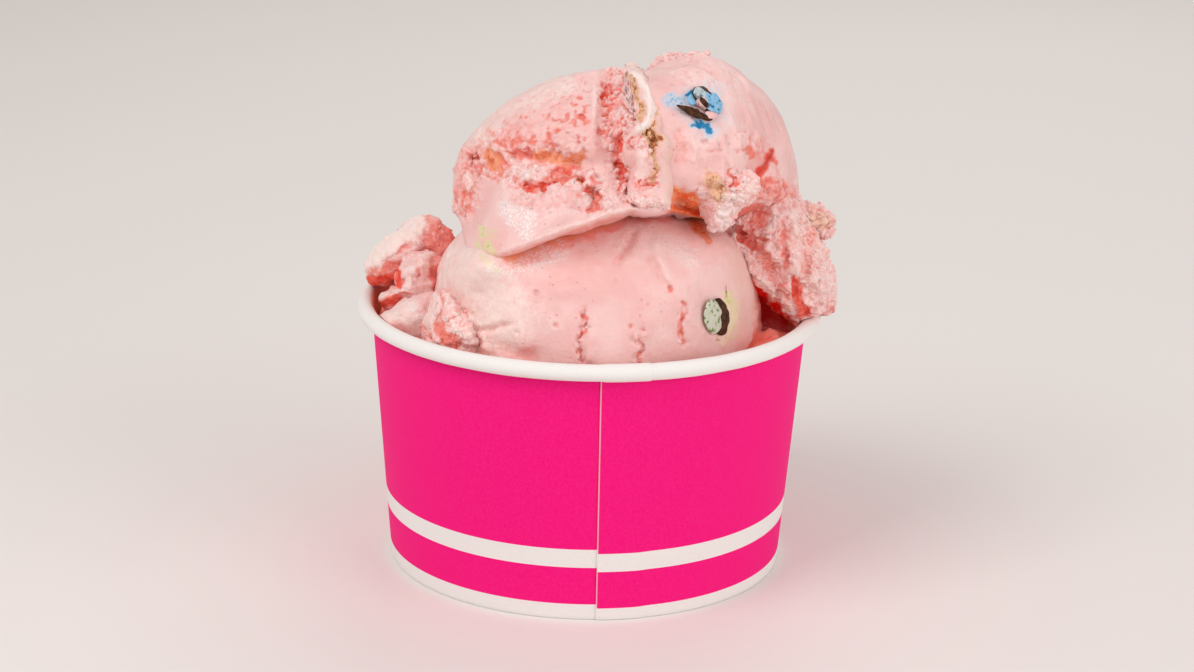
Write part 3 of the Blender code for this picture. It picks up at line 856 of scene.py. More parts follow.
UPPER_FORM = Lump(
    outline=(
        (-25.8, 70.0), (-24.9, 75.8), (-22.0, 81.2), (-17.3, 86.4), (-11.8, 89.7), (-6.0, 91.9),
        (1.0, 93.2), (6.4, 94.4), (9.2, 93.4), (12.3, 95.0), (19.5, 96.4), (24.4, 94.8),
        (29.2, 91.3), (34.0, 86.1), (36.7, 80.3), (38.1, 73.5), (38.1, 68.9), (34.0, 67.8),
        (30.7, 67.0), (26.6, 66.5), (20.1, 66.0), (15.6, 66.8), (7.2, 66.4), (1.6, 64.4),
        (-5.8, 61.7), (-11.3, 59.0), (-16.0, 57.2), (-19.3, 55.9), (-22.5, 57.4), (-24.0, 61.0),
        (-24.2, 64.9), (-25.2, 66.8),
    ),
    centre=(5.5, 76.0),
    depth=0.0,
    front=28.0,
    back=24.0,
    lean=(
        (-200.0, 0.0), (-175.0, -5.0), (-157.0, -15.0), (-142.0, -26.0), (-120.0, -27.5), (-80.0, -27.0),
        (-55.0, -24.5), (-37.0, -20.5), (-20.0, -10.0), (0.0, -2.0), (20.0, 0.0),
    ),
    swell=0.7,
    grain=8.0,
    seed=3,
    strokes=(
        Stroke(((3.8, 89.8), (3.0, 81.0), (4.9, 73.6), (8.2, 70.5)), 3.2, -3.0),
        Stroke(((-21.0, 75.0), (-13.2, 75.8), (-5.8, 76.0), (0.3, 75.0)), 2.8, -2.6),
        Stroke(((-17.0, 65.6), (-5.7, 67.7), (1.8, 69.9)), 4.5, 2.0),
        Stroke(((-21.1, 77.9), (-20.7, 71.1), (-22.1, 65.2)), 1.8, -2.0),
        Stroke(((32.7, 80.4), (29.9, 75.6), (28.1, 72.7)), 1.6, -2.4),
        Stroke(((22.0, 85.0), (23.0, 80.0)), 9.0, 2.0),
        Stroke(((16.6, 67.8), (20.5, 66.0)), 2.3, -8.0),
        Stroke(((27.5, 66.4), (34.0, 67.6)), 2.0, -6.0),
    ),
)
CURL_FORM = Lump(
    outline=(
        (4.8, 93.6), (6.2, 95.4), (7.4, 95.1), (8.9, 93.3), (10.9, 88.0), (12.7, 82.4), (14.3, 75.8),
        (14.9, 70.0), (14.4, 67.3), (11.7, 67.9), (9.0, 67.4), (6.7, 68.7), (7.3, 74.6), (6.4, 81.5),
        (7.0, 86.2),
    ),
    centre=(10.5, 79.0),
    depth=0.6,
    front=3.0,
    back=3.0,
    rides=UPPER_FORM,
    seed=5,
)
TONGUE_FORM = Lump(
    outline=(
        (20.8, 74.6), (24.0, 76.0), (27.7, 75.4), (31.1, 73.5), (31.5, 71.0), (29.7, 69.3), (27.2, 67.9),
        (26.5, 65.1), (24.4, 63.2), (22.5, 63.7), (20.9, 66.4), (19.9, 69.2), (18.9, 71.5),
    ),
    centre=(24.8, 70.5),
    depth=-21.5,
    front=5.0,
    back=6.5,
    swell=0.5,
    grain=3.0,
    seed=6,
)
LOWER_FORM = Lump(
    outline=(
        (-29.4, 48.7), (-28.7, 54.6), (-27.2, 58.5), (-23.5, 62.8), (-17.0, 66.0), (-5.9, 68.0),
        (5.2, 68.3), (10.8, 67.5), (18.3, 66.3), (24.0, 64.5), (27.4, 63.0), (30.2, 57.5),
        (31.3, 52.1), (31.9, 41.3), (30.8, 30.4), (25.5, 20.2), (12.3, 13.9), (0.9, 11.5),
        (-12.5, 13.2), (-24.1, 19.0), (-28.9, 28.9), (-29.9, 40.8),
    ),
    centre=(2.0, 37.0),
    depth=-7.0,
    front=32.0,
    back=34.0,
    swell=0.35,
    grain=12.0,
    seed=8,
)
SLAB_FORM = Lump(
    outline=(
        (26.4, 72.3), (32.0, 75.2), (36.5, 74.2), (38.1, 69.6), (39.9, 65.5), (41.7, 62.0), (44.0, 57.8),
        (45.7, 53.4), (46.7, 50.5), (46.3, 48.7), (43.0, 47.1), (40.2, 45.5), (38.1, 46.2), (35.4, 48.7),
        (32.5, 50.9), (28.5, 52.5), (24.6, 57.8), (22.4, 62.6), (24.7, 68.4),
    ),
    centre=(35.8, 59.6),
    depth=-8.0,
    front=9.0,
    back=13.0,
    swell=0.8,
    grain=5.0,
    seed=11,
)
SLAB_CRUMB_FORM = Lump(
    outline=(
        (37.4, 67.4), (39.8, 69.3), (42.0, 68.6), (43.9, 67.9), (44.9, 66.0), (44.8, 63.7), (43.0, 62.6),
        (40.5, 62.2), (38.0, 63.0),
    ),
    centre=(41.0, 65.8),
    depth=-7.0,
    front=3.4,
    back=3.4,
    seed=12,
)
CHUNK_FORM = Lump(
    outline=(
        (-42.7, 54.2), (-42.0, 56.6), (-39.3, 59.5), (-36.5, 61.9), (-34.1, 63.7), (-31.0, 64.6),
        (-28.2, 64.0), (-25.9, 61.2), (-24.3, 58.0), (-25.6, 55.2), (-30.4, 54.9), (-33.3, 54.6),
        (-35.6, 54.0), (-36.9, 52.4), (-39.7, 51.4), (-42.0, 52.1),
    ),
    centre=(-33.4, 58.0),
    depth=3.0,
    front=9.0,
    back=13.0,
    swell=0.7,
    grain=4.0,
    seed=14,
)
KNOBS_FORM = Lump(
    outline=(
        (-39.4, 48.9), (-36.3, 50.9), (-35.8, 54.4), (-34.1, 57.1), (-31.5, 58.4), (-28.9, 57.3),
        (-26.4, 54.2), (-25.0, 48.3), (-28.6, 44.3), (-33.7, 43.8), (-37.4, 45.9),
    ),
    centre=(-32.2, 50.5),
    depth=-5.0,
    front=7.0,
    back=8.0,
    swell=0.6,
    grain=3.2,
    seed=15,
)
LEFT_SLAB_FORM = Lump(
    outline=(
        (-40.4, 43.6), (-37.1, 46.7), (-33.3, 49.2), (-29.6, 50.6), (-27.3, 48.7), (-26.8, 42.8),
        (-28.5, 37.8), (-34.6, 36.7), (-38.8, 40.0),
    ),
    centre=(-33.4, 43.8),
    depth=-11.0,
    front=8.0,
    back=7.0,
    swell=0.3,
    grain=5.0,
    seed=16,
)
CRACKED_FORM = Lump(
    outline=(
        (-28.8, 50.3), (-26.0, 50.7), (-23.0, 47.8), (-19.5, 44.6), (-17.2, 40.1), (-17.3, 33.7),
        (-25.2, 33.0), (-30.9, 37.2), (-31.0, 42.8), (-29.9, 46.7),
    ),
    centre=(-25.0, 42.0),
    depth=-21.0,
    front=11.5,
    back=9.0,
    swell=0.5,
    grain=4.0,
    seed=17,
)


class Flavour(Enum):
    """What a piece of the heap is made of, by its finish."""

    ICE_CREAM = "ice_cream"
    BLUE_SHELL = "blue_sugar"
    WORN_SHELL = "worn_sugar"
    GREEN_SHELL = "green_sugar"
    CHOCOLATE = "chocolate"


@dataclass(frozen=True)
class HeapPiece:
    """One piece of the heap: a lump with its fine strokes and its grain."""

    name: str
    node: str
    form: Lump
    steps: int
    slot: str = "ice_cream"
    flavour: Flavour = Flavour.ICE_CREAM
    grain: Grain = Grain()
    strokes: tuple[Stroke, ...] = ()
    fibres: float = 0.0
    # Painted red shade on the piece's undersides, low on the heap.
    red_shade_below: float = 0.0

    def surface(self) -> Surface:
        """Works out the piece with its masks and its relief.

        Slow noise waves it. Where it is torn, puffs and then crumbs stand on it, and a random shift
        breaks up their outlines; the creases between the puffs and the crumbs, and the pits, get painted
        shade, and undersides low on the heap get painted red shade. Each relief follows the surface left
        by the one before.
        """
        surface, places, forward = self.form.surface(self.steps, self.strokes)
        seed = self.form.seed
        start = surface.points.copy()
        strays = wander(np.insert(places, 2, 0.0, axis=1), 1.3, seed + 50)[:, :2]
        facing = smooth_step(forward, -0.25, 0.15)
        for trait in Trait:
            surface.traits[trait] = np.zeros(len(start))
        patches = smooth_step(layered_noise(start, 7.0, seed + 60), -0.25, 0.35)
        behind = smooth_step(forward, 0.0, -0.4) * TORN_BEHIND * patches
        surface.traits[Trait.TORN] = np.maximum(self.grain.torn, behind)
        for stroke in self.strokes:
            cover = stroke.cover(places, strays) * facing if stroke.paint else 0.0
            for trait, strength in stroke.paint.items():
                mask = surface.traits[trait]
                surface.traits[trait] = np.maximum(mask, cover * strength) * (1 + cover * min(strength, 0.0))
        torn = surface.traits[Trait.TORN]

        grain = self.grain
        drawn = grain.drawn_out(start + wander(start, 3.0, seed) * 0.9)
        puffs = billows(drawn, grain.clump_size, seed)
        waves = layered_noise(start, grain.soft_size, seed + 2) * grain.soft
        surface.push(waves + torn * grain.clump * (puffs - PUFF_MIDDLE))

        warped = start + wander(start, 0.9, seed + 5) * 0.3
        crumbs = billows(warped, grain.crumb_size, seed + 3)
        fine = layered_noise(start, 1.2, seed + 4, 2)
        pits = surface.traits[Trait.PITTED] * smooth_step(lattice_noise(warped / 0.8, seed + 7), -0.3, -0.56)
        arcs = self.fibre_relief(places) * (1 - torn)
        crumbled = torn * grain.crumb * (crumbs - PUFF_MIDDLE)
        surface.push(crumbled + fine * (0.06 + 0.06 * torn) + arcs - PIT_DEPTH * pits)
        surface.points = surface.points + wander(start, 0.8, seed + 6) * (torn * TORN_SHIFT)[:, None]

        # Painted shade in the creases between puffs and crumbs where it is torn, and in the pits.
        creases = grain.crease_shade * smooth_step(puffs, 0.4, 0.05) + CRUMB_SHADE * smooth_step(crumbs, 0.4, 0.05)
        hollow_shade = surface.traits[Trait.HOLLOW_SHADE] + torn * creases + PIT_SHADE * pits
        surface.traits[Trait.HOLLOW_SHADE] = np.clip(hollow_shade, 0, 1)
        # Painted red shade on faces that look down, below about 52 to 60 mm.
        normals = surface.normals()
        below = smooth_step(normals[:, 2], -0.3, -0.8) * smooth_step(surface.points[:, 2], 60.0, 52.0)
        surface.traits[Trait.RED_SHADE] = np.maximum(surface.traits[Trait.RED_SHADE], self.red_shade_below * below)
        return surface

    def fibre_relief(self, places: Array) -> Array:
        """Fine ridges along arcs round the form's centre: noise that changes fast with the distance
        from the centre and slowly round it."""
        if not self.fibres:
            return np.zeros(len(places))
        offsets = places - self.form.centre
        turned = np.stack(
            [
                np.hypot(offsets[:, 0], offsets[:, 1]) * 1.3,
                np.arctan2(offsets[:, 1], offsets[:, 0]) * 5.0,
                np.zeros(len(places)),
            ],
            axis=1,
        )
        right = smooth_step(offsets[:, 0], 8.0, 14.0)
        return lattice_noise(turned, 71) * self.fibres * right


TORN, HOLLOW_SHADE, FROST_AND_GLINT, RED_SHADE, TAN = Trait.TORN, Trait.HOLLOW_SHADE, Trait.FROST_AND_GLINT, Trait.RED_SHADE, Trait.TAN
BLUE, OLIVE, PALE_AND_LIT, BEIGE = Trait.BLUE, Trait.OLIVE, Trait.PALE_AND_LIT, Trait.BEIGE
WARM_SHADE, DARK, GREEN, PITTED = Trait.WARM_SHADE, Trait.DARK, Trait.GREEN, Trait.PITTED

UPPER = HeapPiece(
    name="upper_scoop_flesh",
    node="upper_scoop",
    form=UPPER_FORM,
    steps=126,
    fibres=0.22,
    # Strokes that paint hollows, deep red and orange are painted shade in grooves, in the gap under the
    # tongue and along the flap's lower edge; pale ones on ridges, lips and the lit upper left are painted
    # light, except the pale ring round the blue drop, a real halo; icy ones are frost with painted glints.
    strokes=(
        Stroke(
            ((-21.2, 78.3), (-21.8, 74.9), (-23.4, 71.4), (-24.5, 68.9)),
            0.7, -0.7, 0.9, {TORN: 0.9, HOLLOW_SHADE: 0.3},
        ),
        Stroke(((-20.8, 71.3), (-21.9, 69.0), (-22.8, 66.7)), 0.6, -0.6, 0.9, {TORN: 0.9, HOLLOW_SHADE: 0.28}),
        Stroke(((-21.6, 72.4), (-22.6, 70.1)), 0.8, 0.5, 0.3, {PALE_AND_LIT: 0.5}),
        Stroke(((-22.2, 76.5), (-23.4, 72.0), (-23.4, 67.0)), 2.2, -0.4, 0.6, {TORN: 0.85, HOLLOW_SHADE: 0.16}),
        Stroke(
            ((-12.6, 71.5), (-11.0, 70.4), (-9.5, 71.2), (-6.7, 71.6), (-4.1, 72.5), (-1.9, 72.1)),
            0.8, -1.2, 0.9, {HOLLOW_SHADE: 0.6},
        ),
        Stroke(((-4.7, 72.8), (-2.1, 71.9)), 0.6, -0.7, 0.5, {WARM_SHADE: 0.9, HOLLOW_SHADE: 0.6}),
        Stroke(
            ((-19.8, 79.7), (-16.3, 80.2), (-12.6, 78.9), (-8.9, 78.4), (-5.2, 78.1), (-2.7, 76.7)),
            1.9, 0.0, 0.0, {TORN: 0.7},
        ),
        Stroke(
            (
                (-20.1, 74.9), (-16.2, 73.7), (-11.5, 72.3), (-6.9, 72.8), (-2.3, 72.9), (0.7, 70.7),
                (2.3, 69.2),
            ),
            2.8, 0.0, 0.0, {TORN: 1.0, BEIGE: 0.12, PITTED: 1.0},
        ),
        Stroke(((-19.0, 76.5), (-12.0, 75.6), (-4.0, 75.0)), 2.4, 0.0, 0.0, {TORN: 0.9, HOLLOW_SHADE: 0.12}),
        Stroke(((-16.1, 68.7), (-11.5, 67.9), (-5.9, 68.6), (-0.3, 67.8)), 1.6, 0.0, 0.0, {TORN: 0.5}),
        Stroke(((-19.0, 77.4), (-17.9, 76.0), (-18.2, 74.8)), 1.0, -0.4, 0.4, {WARM_SHADE: 0.75}),
        Stroke(((-10.7, 77.4), (-7.9, 76.8), (-4.9, 75.9), (-2.7, 76.7)), 1.1, -0.5, 0.6, {WARM_SHADE: 0.8}),
        Stroke(((-19.2, 81.8), (-17.8, 80.7)), 0.6, -0.7, 0.4, {HOLLOW_SHADE: 0.5, TORN: 0.5}),
        Stroke(((-17.4, 79.4), (-16.3, 78.6)), 0.5, -0.6, 0.4, {HOLLOW_SHADE: 0.5}),
        Stroke(((-14.2, 82.4), (-9.6, 83.4)), 0.5, -0.25, 0.8),
        Stroke(((-3.0, 88.4), (-2.8, 88.0)), 0.5, -0.6, 0.2, {HOLLOW_SHADE: 0.4}),
        Stroke(((-2.2, 84.6), (-2.0, 84.3)), 0.6, -0.7, 0.2, {HOLLOW_SHADE: 0.4}),
        Stroke(((-4.0, 86.9), (-3.8, 86.7)), 0.4, -0.5, 0.2, {HOLLOW_SHADE: 0.3}),
        Stroke(((-11.7, 85.2), (-6.2, 87.2), (-1.7, 89.2)), 2.6, 0.0, 0.0, {TORN: 0.22}),
        Stroke(((-10.0, 83.0), (-5.5, 85.5), (-2.5, 87.5)), 4.2, 0.0, 0.0, {PITTED: 0.9}),
        Stroke(((-15.5, 80.5), (-8.0, 80.2), (-3.0, 80.5)), 2.2, 0.0, 0.0, {PITTED: 1.0, TORN: 0.25}),
        Stroke(((15.0, 92.5), (19.0, 94.0), (24.0, 91.5)), 2.2, 0.0, 0.0, {PITTED: 0.7}),
        Stroke(((24.0, 78.5), (29.0, 81.0), (31.5, 84.0)), 3.0, 0.0, 0.0, {PITTED: 0.6}),
        Stroke(((-14.7, 76.6), (-12.0, 76.7)), 0.8, -0.8, 0.5, {HOLLOW_SHADE: 0.35}),
        Stroke(((-6.7, 74.0), (-4.6, 74.4)), 1.2, -0.5, 0.5, {HOLLOW_SHADE: 0.4}),
        Stroke(((-0.4, 71.0), (1.1, 69.7), (0.6, 67.8), (-0.3, 66.8)), 0.7, -1.0, 0.5, {HOLLOW_SHADE: 0.45}),
        Stroke(
            ((3.2, 91.5), (2.9, 87.8), (2.3, 84.0), (2.4, 80.2), (3.6, 76.5), (5.5, 72.7), (7.1, 69.9)),
            1.9, -0.5, 0.5, {TORN: 0.9, HOLLOW_SHADE: 0.12, PITTED: 1.0},
        ),
        Stroke(
            ((5.4, 91.2), (5.5, 86.9), (5.3, 83.1), (6.5, 79.4), (7.7, 75.6), (8.9, 71.8)),
            1.7, 0.3, 0.4, {TORN: 1.0, HOLLOW_SHADE: 0.08, PITTED: 1.0},
        ),
        Stroke(((2.2, 90.0), (1.4, 86.0), (0.9, 82.0)), 0.6, -0.9, 0.4, {HOLLOW_SHADE: 0.4}),
        Stroke(((4.6, 80.7), (5.4, 78.8)), 0.9, -1.1, 0.5, {HOLLOW_SHADE: 0.7, RED_SHADE: 0.15}),
        Stroke(((4.7, 75.7), (5.9, 73.8), (6.7, 71.2)), 0.9, -0.8, 0.6, {HOLLOW_SHADE: 0.55}),
        Stroke(((16.0, 81.7), (16.8, 79.0), (16.5, 76.8)), 1.2, -0.7, 0.2, {HOLLOW_SHADE: 0.22, TORN: 0.25}),
        Stroke(((18.4, 81.7), (19.0, 79.5), (18.7, 76.8)), 0.5, 0.35, 0.1, {PALE_AND_LIT: 0.4}),
        Stroke(((28.1, 79.3), (29.2, 78.0)), 0.7, -0.8, 0.4, {HOLLOW_SHADE: 0.6, TORN: 0.4}),
        Stroke(((25.8, 74.7), (26.6, 73.8)), 0.8, -1.0, 0.4, {HOLLOW_SHADE: 0.7, RED_SHADE: 0.25, TORN: 0.6}),
        Stroke(
            ((29.4, 72.8), (31.0, 75.6), (32.0, 77.5), (32.5, 78.7)),
            0.6, -1.5, 0.6, {HOLLOW_SHADE: 0.7, RED_SHADE: 0.45},
        ),
        Stroke(((32.0, 77.3), (33.7, 76.6)), 0.5, -0.7, 0.5, {HOLLOW_SHADE: 0.6, RED_SHADE: 0.2}),
        Stroke(
            ((28.0, 80.0), (31.5, 79.0), (33.5, 75.0), (32.0, 72.5)),
            2.0, 0.0, 0.0, {TORN: 0.4, HOLLOW_SHADE: 0.12},
        ),
        Stroke(
            ((27.8, 70.2), (31.1, 71.8), (34.9, 71.1), (37.2, 68.9)),
            2.4, 0.0, 0.0, {TORN: 0.9, HOLLOW_SHADE: 0.3},
        ),
        Stroke(((17.8, 69.0), (22.0, 72.5), (26.5, 73.5)), 1.6, 0.0, 0.0, {TORN: 0.5}),
        Stroke(((21.8, 73.4), (22.8, 72.2), (23.2, 71.0)), 1.5, 0.2, 0.7, {TAN: 0.75, TORN: 1.0}),
        Stroke(((-21.5, 80.5), (-14.5, 87.0), (-6.0, 90.5)), 2.6, 0.0, 0.0, {PALE_AND_LIT: 0.5}),
        Stroke(((-13.0, 82.0), (-7.0, 83.0), (-3.0, 82.5)), 4.5, 0.0, 0.0, {HOLLOW_SHADE: 0.16}),
        Stroke(((11.0, 95.3), (14.3, 96.3), (19.9, 97.1)), 0.8, 0.7, 0.6, {TORN: 0.6}),
        Stroke(
            ((-17.8, 57.3), (-11.3, 60.0), (-5.8, 62.6), (1.6, 65.3), (9.0, 67.6)),
            1.0, 0.6, 0.1, {PALE_AND_LIT: 0.4},
        ),
        Stroke(((17.6, 87.6), (21.0, 88.0), (21.4, 84.4)), 4.0, 0.0, 0.6, {BLUE: 0.36}),
        Stroke(((13.8, 88.2), (15.6, 88.4), (17.4, 88.2)), 1.3, -0.2, 0.5, {BLUE: 0.66}),
        Stroke(((15.2, 86.1), (17.2, 84.9), (18.8, 84.0)), 0.8, 0.0, 0.5, {BLUE: 0.25}),
        Stroke(((17.2, 88.9), (18.0, 89.3), (18.7, 88.6)), 0.7, -0.2, 0.4, {BLUE: 0.9}),
        Stroke(((19.5, 83.9), (20.7, 83.3), (21.6, 82.2)), 1.15, -0.4, 0.7, {BLUE: 0.95}),
        Stroke(((21.0, 83.9), (22.0, 83.2)), 0.6, -0.2, 0.5, {BLUE: 0.6}),
        Stroke(((19.4, 81.3), (20.3, 80.8), (21.5, 80.7)), 0.5, -0.2, 0.7, {PITTED: 1.0}),
        Stroke(
            ((17.5, 91.0), (21.8, 91.0), (24.6, 87.5), (24.2, 82.5), (20.0, 80.4)),
            1.3, 0.0, 0.6, {PALE_AND_LIT: 0.35},
        ),
        Stroke(((-20.9, 62.6), (-20.9, 59.2), (-18.6, 57.4), (-18.9, 61.5)), 1.1, 0.0, 0.6, {OLIVE: 0.4}),
        Stroke(((-21.0, 62.8), (-20.5, 61.4)), 0.55, -0.1, 0.5, {OLIVE: 0.9, GREEN: 0.25}),
        Stroke(((-21.3, 59.6), (-20.6, 58.3)), 0.6, -0.1, 0.5, {OLIVE: 0.8}),
        Stroke(((-19.4, 59.8), (-18.6, 58.3), (-19.0, 56.7)), 0.6, -0.1, 0.5, {OLIVE: 0.9}),
        Stroke(
            ((-16.1, 66.4), (-14.2, 64.2), (-12.3, 62.3), (-13.3, 65.5), (-11.4, 64.2)),
            1.7, 0.15, 0.8, {FROST_AND_GLINT: 0.85},
        ),
        Stroke(((-8.5, 66.0), (-4.5, 66.8)), 1.2, 0.0, 0.6, {FROST_AND_GLINT: 0.35}),
        Stroke(((-14.5, 74.6), (-11.5, 73.6)), 1.6, 0.0, 0.6, {FROST_AND_GLINT: 0.5, PALE_AND_LIT: 0.4}),
        Stroke(((15.2, 70.2), (18.2, 69.2), (19.0, 67.2)), 1.6, -0.5, 0.3, {WARM_SHADE: 1.0, HOLLOW_SHADE: 0.6}),
        Stroke(((27.6, 67.0), (34.0, 67.6)), 1.5, 0.0, 0.3, {HOLLOW_SHADE: 0.55}),
        Stroke(
            ((15.4, 67.2), (17.5, 66.3), (20.2, 65.7)),
            1.1, 0.0, 0.2, {WARM_SHADE: 1.0, HOLLOW_SHADE: 0.6, TORN: -0.6},
        ),
        Stroke(((-16.5, 57.4), (-11.3, 59.2), (1.6, 64.4), (8.0, 66.6)), 0.5, 0.0, 0.0, {HOLLOW_SHADE: 0.35}),
        Stroke(
            ((0.0, 90.0), (0.5, 86.5), (0.6, 83.0)),
            1.0, 0.9, 0.4, {PALE_AND_LIT: 0.4, TORN: -1.0, HOLLOW_SHADE: -1.0},
        ),
        Stroke(
            ((-0.6, 80.5), (0.2, 77.5), (1.2, 75.5)),
            1.9, 0.8, 0.6, {PALE_AND_LIT: 0.25, TORN: -1.0, HOLLOW_SHADE: -1.0},
        ),
        Stroke(
            ((2.2, 73.6), (3.2, 71.5), (4.4, 69.2)),
            1.2, 0.9, 0.4, {PALE_AND_LIT: 0.35, TORN: -1.0, HOLLOW_SHADE: -1.0},
        ),
    ),
)
CURL = HeapPiece(
    name="curled_edge",
    node="upper_scoop",
    form=CURL_FORM,
    steps=88,
    grain=Grain(soft=0.2, soft_size=4.0, clump=0.9, clump_size=2.2, crumb=0.5, crumb_size=0.9),
    # Hollow strokes here are painted shade in grooves, and pale strokes on the lip and ridges painted light;
    # the icy touch on the lip is frost with a painted glint.
    strokes=(
        Stroke(((6.4, 91.5), (6.6, 87.5), (6.9, 83.5)), 0.8, 0.0, 0.3, {TORN: 1.0, HOLLOW_SHADE: 0.1}),
        Stroke(((6.2, 92.8), (7.1, 90.7), (7.8, 88.5), (8.9, 86.0), (8.2, 84.4)), 0.8, -0.6, 0.4,
               {TAN: 0.8, TORN: 0.9}),
        Stroke(
            ((9.0, 93.0), (10.6, 91.7), (11.8, 89.6)),
            0.7, -0.3, 0.4, {TORN: 0.6, TAN: 0.45, BEIGE: 0.5},
        ),
        Stroke(((11.5, 86.8), (11.1, 84.6), (10.4, 82.7)), 0.8, -0.5, 0.5, {TAN: 0.8, TORN: 0.9}),
        Stroke(((9.6, 82.2), (11.8, 81.0), (10.9, 79.8)), 1.0, -0.5, 0.5, {TAN: 1.0, TORN: 1.0}),
        Stroke(
            ((10.8, 79.6), (10.9, 78.1), (11.6, 75.1), (11.0, 72.6)),
            0.65, -0.4, 0.5, {TAN: 0.75, TORN: 1.0},
        ),
        Stroke(((10.3, 85.0), (9.6, 80.0), (10.8, 76.0), (11.2, 72.0)), 1.3, 0.0, 0.0, {TORN: 0.9}),
        Stroke(((7.0, 81.5), (7.2, 79.0)), 0.9, -0.6, 0.4, {TORN: 1.0, HOLLOW_SHADE: 0.3}),
        Stroke(((8.2, 73.0), (9.0, 71.4), (10.8, 72.6)), 1.1, -0.4, 0.5, {TORN: 1.0, HOLLOW_SHADE: 0.3}),
        Stroke(
            ((6.0, 69.6), (9.0, 68.8), (11.8, 68.3), (14.6, 68.2)),
            1.1, 0.2, 0.4, {TORN: 1.0, PALE_AND_LIT: 0.3},
        ),
        Stroke(
            ((11.6, 89.6), (13.3, 84.3), (14.0, 79.0), (14.6, 72.0), (14.5, 69.0)),
            1.3, 0.3, 0.2, {BEIGE: 0.5, TORN: -1.0},
        ),
        Stroke(((4.6, 93.2), (6.2, 94.6), (7.8, 94.2)), 1.1, 0.1, 0.4, {BEIGE: 0.5, PALE_AND_LIT: 0.4}),
        Stroke(
            ((8.9, 77.2), (9.0, 75.1), (8.9, 73.6)),
            1.25, 0.9, 0.2, {PALE_AND_LIT: 0.5, TORN: -1.0, HOLLOW_SHADE: -1.0},
        ),
        Stroke(
            ((7.2, 93.0), (8.3, 92.0), (9.6, 90.1), (10.3, 87.7), (10.5, 85.8), (10.0, 83.9), (8.6, 82.6)),
            0.75, 0.65, 0.2, {PALE_AND_LIT: 0.9, FROST_AND_GLINT: 0.2, TORN: -1.0, TAN: -1.0, HOLLOW_SHADE: -1.0, BEIGE: -1.0},
        ),
        Stroke(((8.6, 82.5), (7.3, 81.6), (6.1, 80.6)), 0.5, 0.6, 0.3, {PALE_AND_LIT: 0.6, TORN: -1.0, TAN: -1.0}),
    ),
)
TONGUE = HeapPiece(
    name="crumb_tongue",
    node="upper_scoop",
    form=TONGUE_FORM,
    steps=84,
    grain=Grain(
        torn=0.7, soft=0.4, soft_size=4.0, clump=0.8, clump_size=2.4, crumb=0.5, crumb_size=1.0, crease_shade=0.25,
    ),
    # The hollow and deep red stroke is painted shade in a groove, and the pale ones painted light; the icy
    # one is frost with painted glints.
    strokes=(
        Stroke(((21.0, 73.2), (22.4, 72.2), (23.4, 70.6)), 1.9, 0.3, 0.7, {TAN: 0.8, TORN: 1.0}),
        Stroke(((25.2, 73.6), (26.4, 72.6)), 0.7, -0.9, 0.4, {HOLLOW_SHADE: 0.6, RED_SHADE: 0.25}),
        Stroke(((24.6, 68.6), (24.4, 65.0), (24.0, 64.0)), 1.6, 0.0, 0.4, {FROST_AND_GLINT: 0.55, PALE_AND_LIT: 0.4}),
        Stroke(((28.5, 72.8), (29.8, 71.2), (26.5, 69.5)), 1.5, 0.3, 0.4, {PALE_AND_LIT: 0.5}),
    ),
)
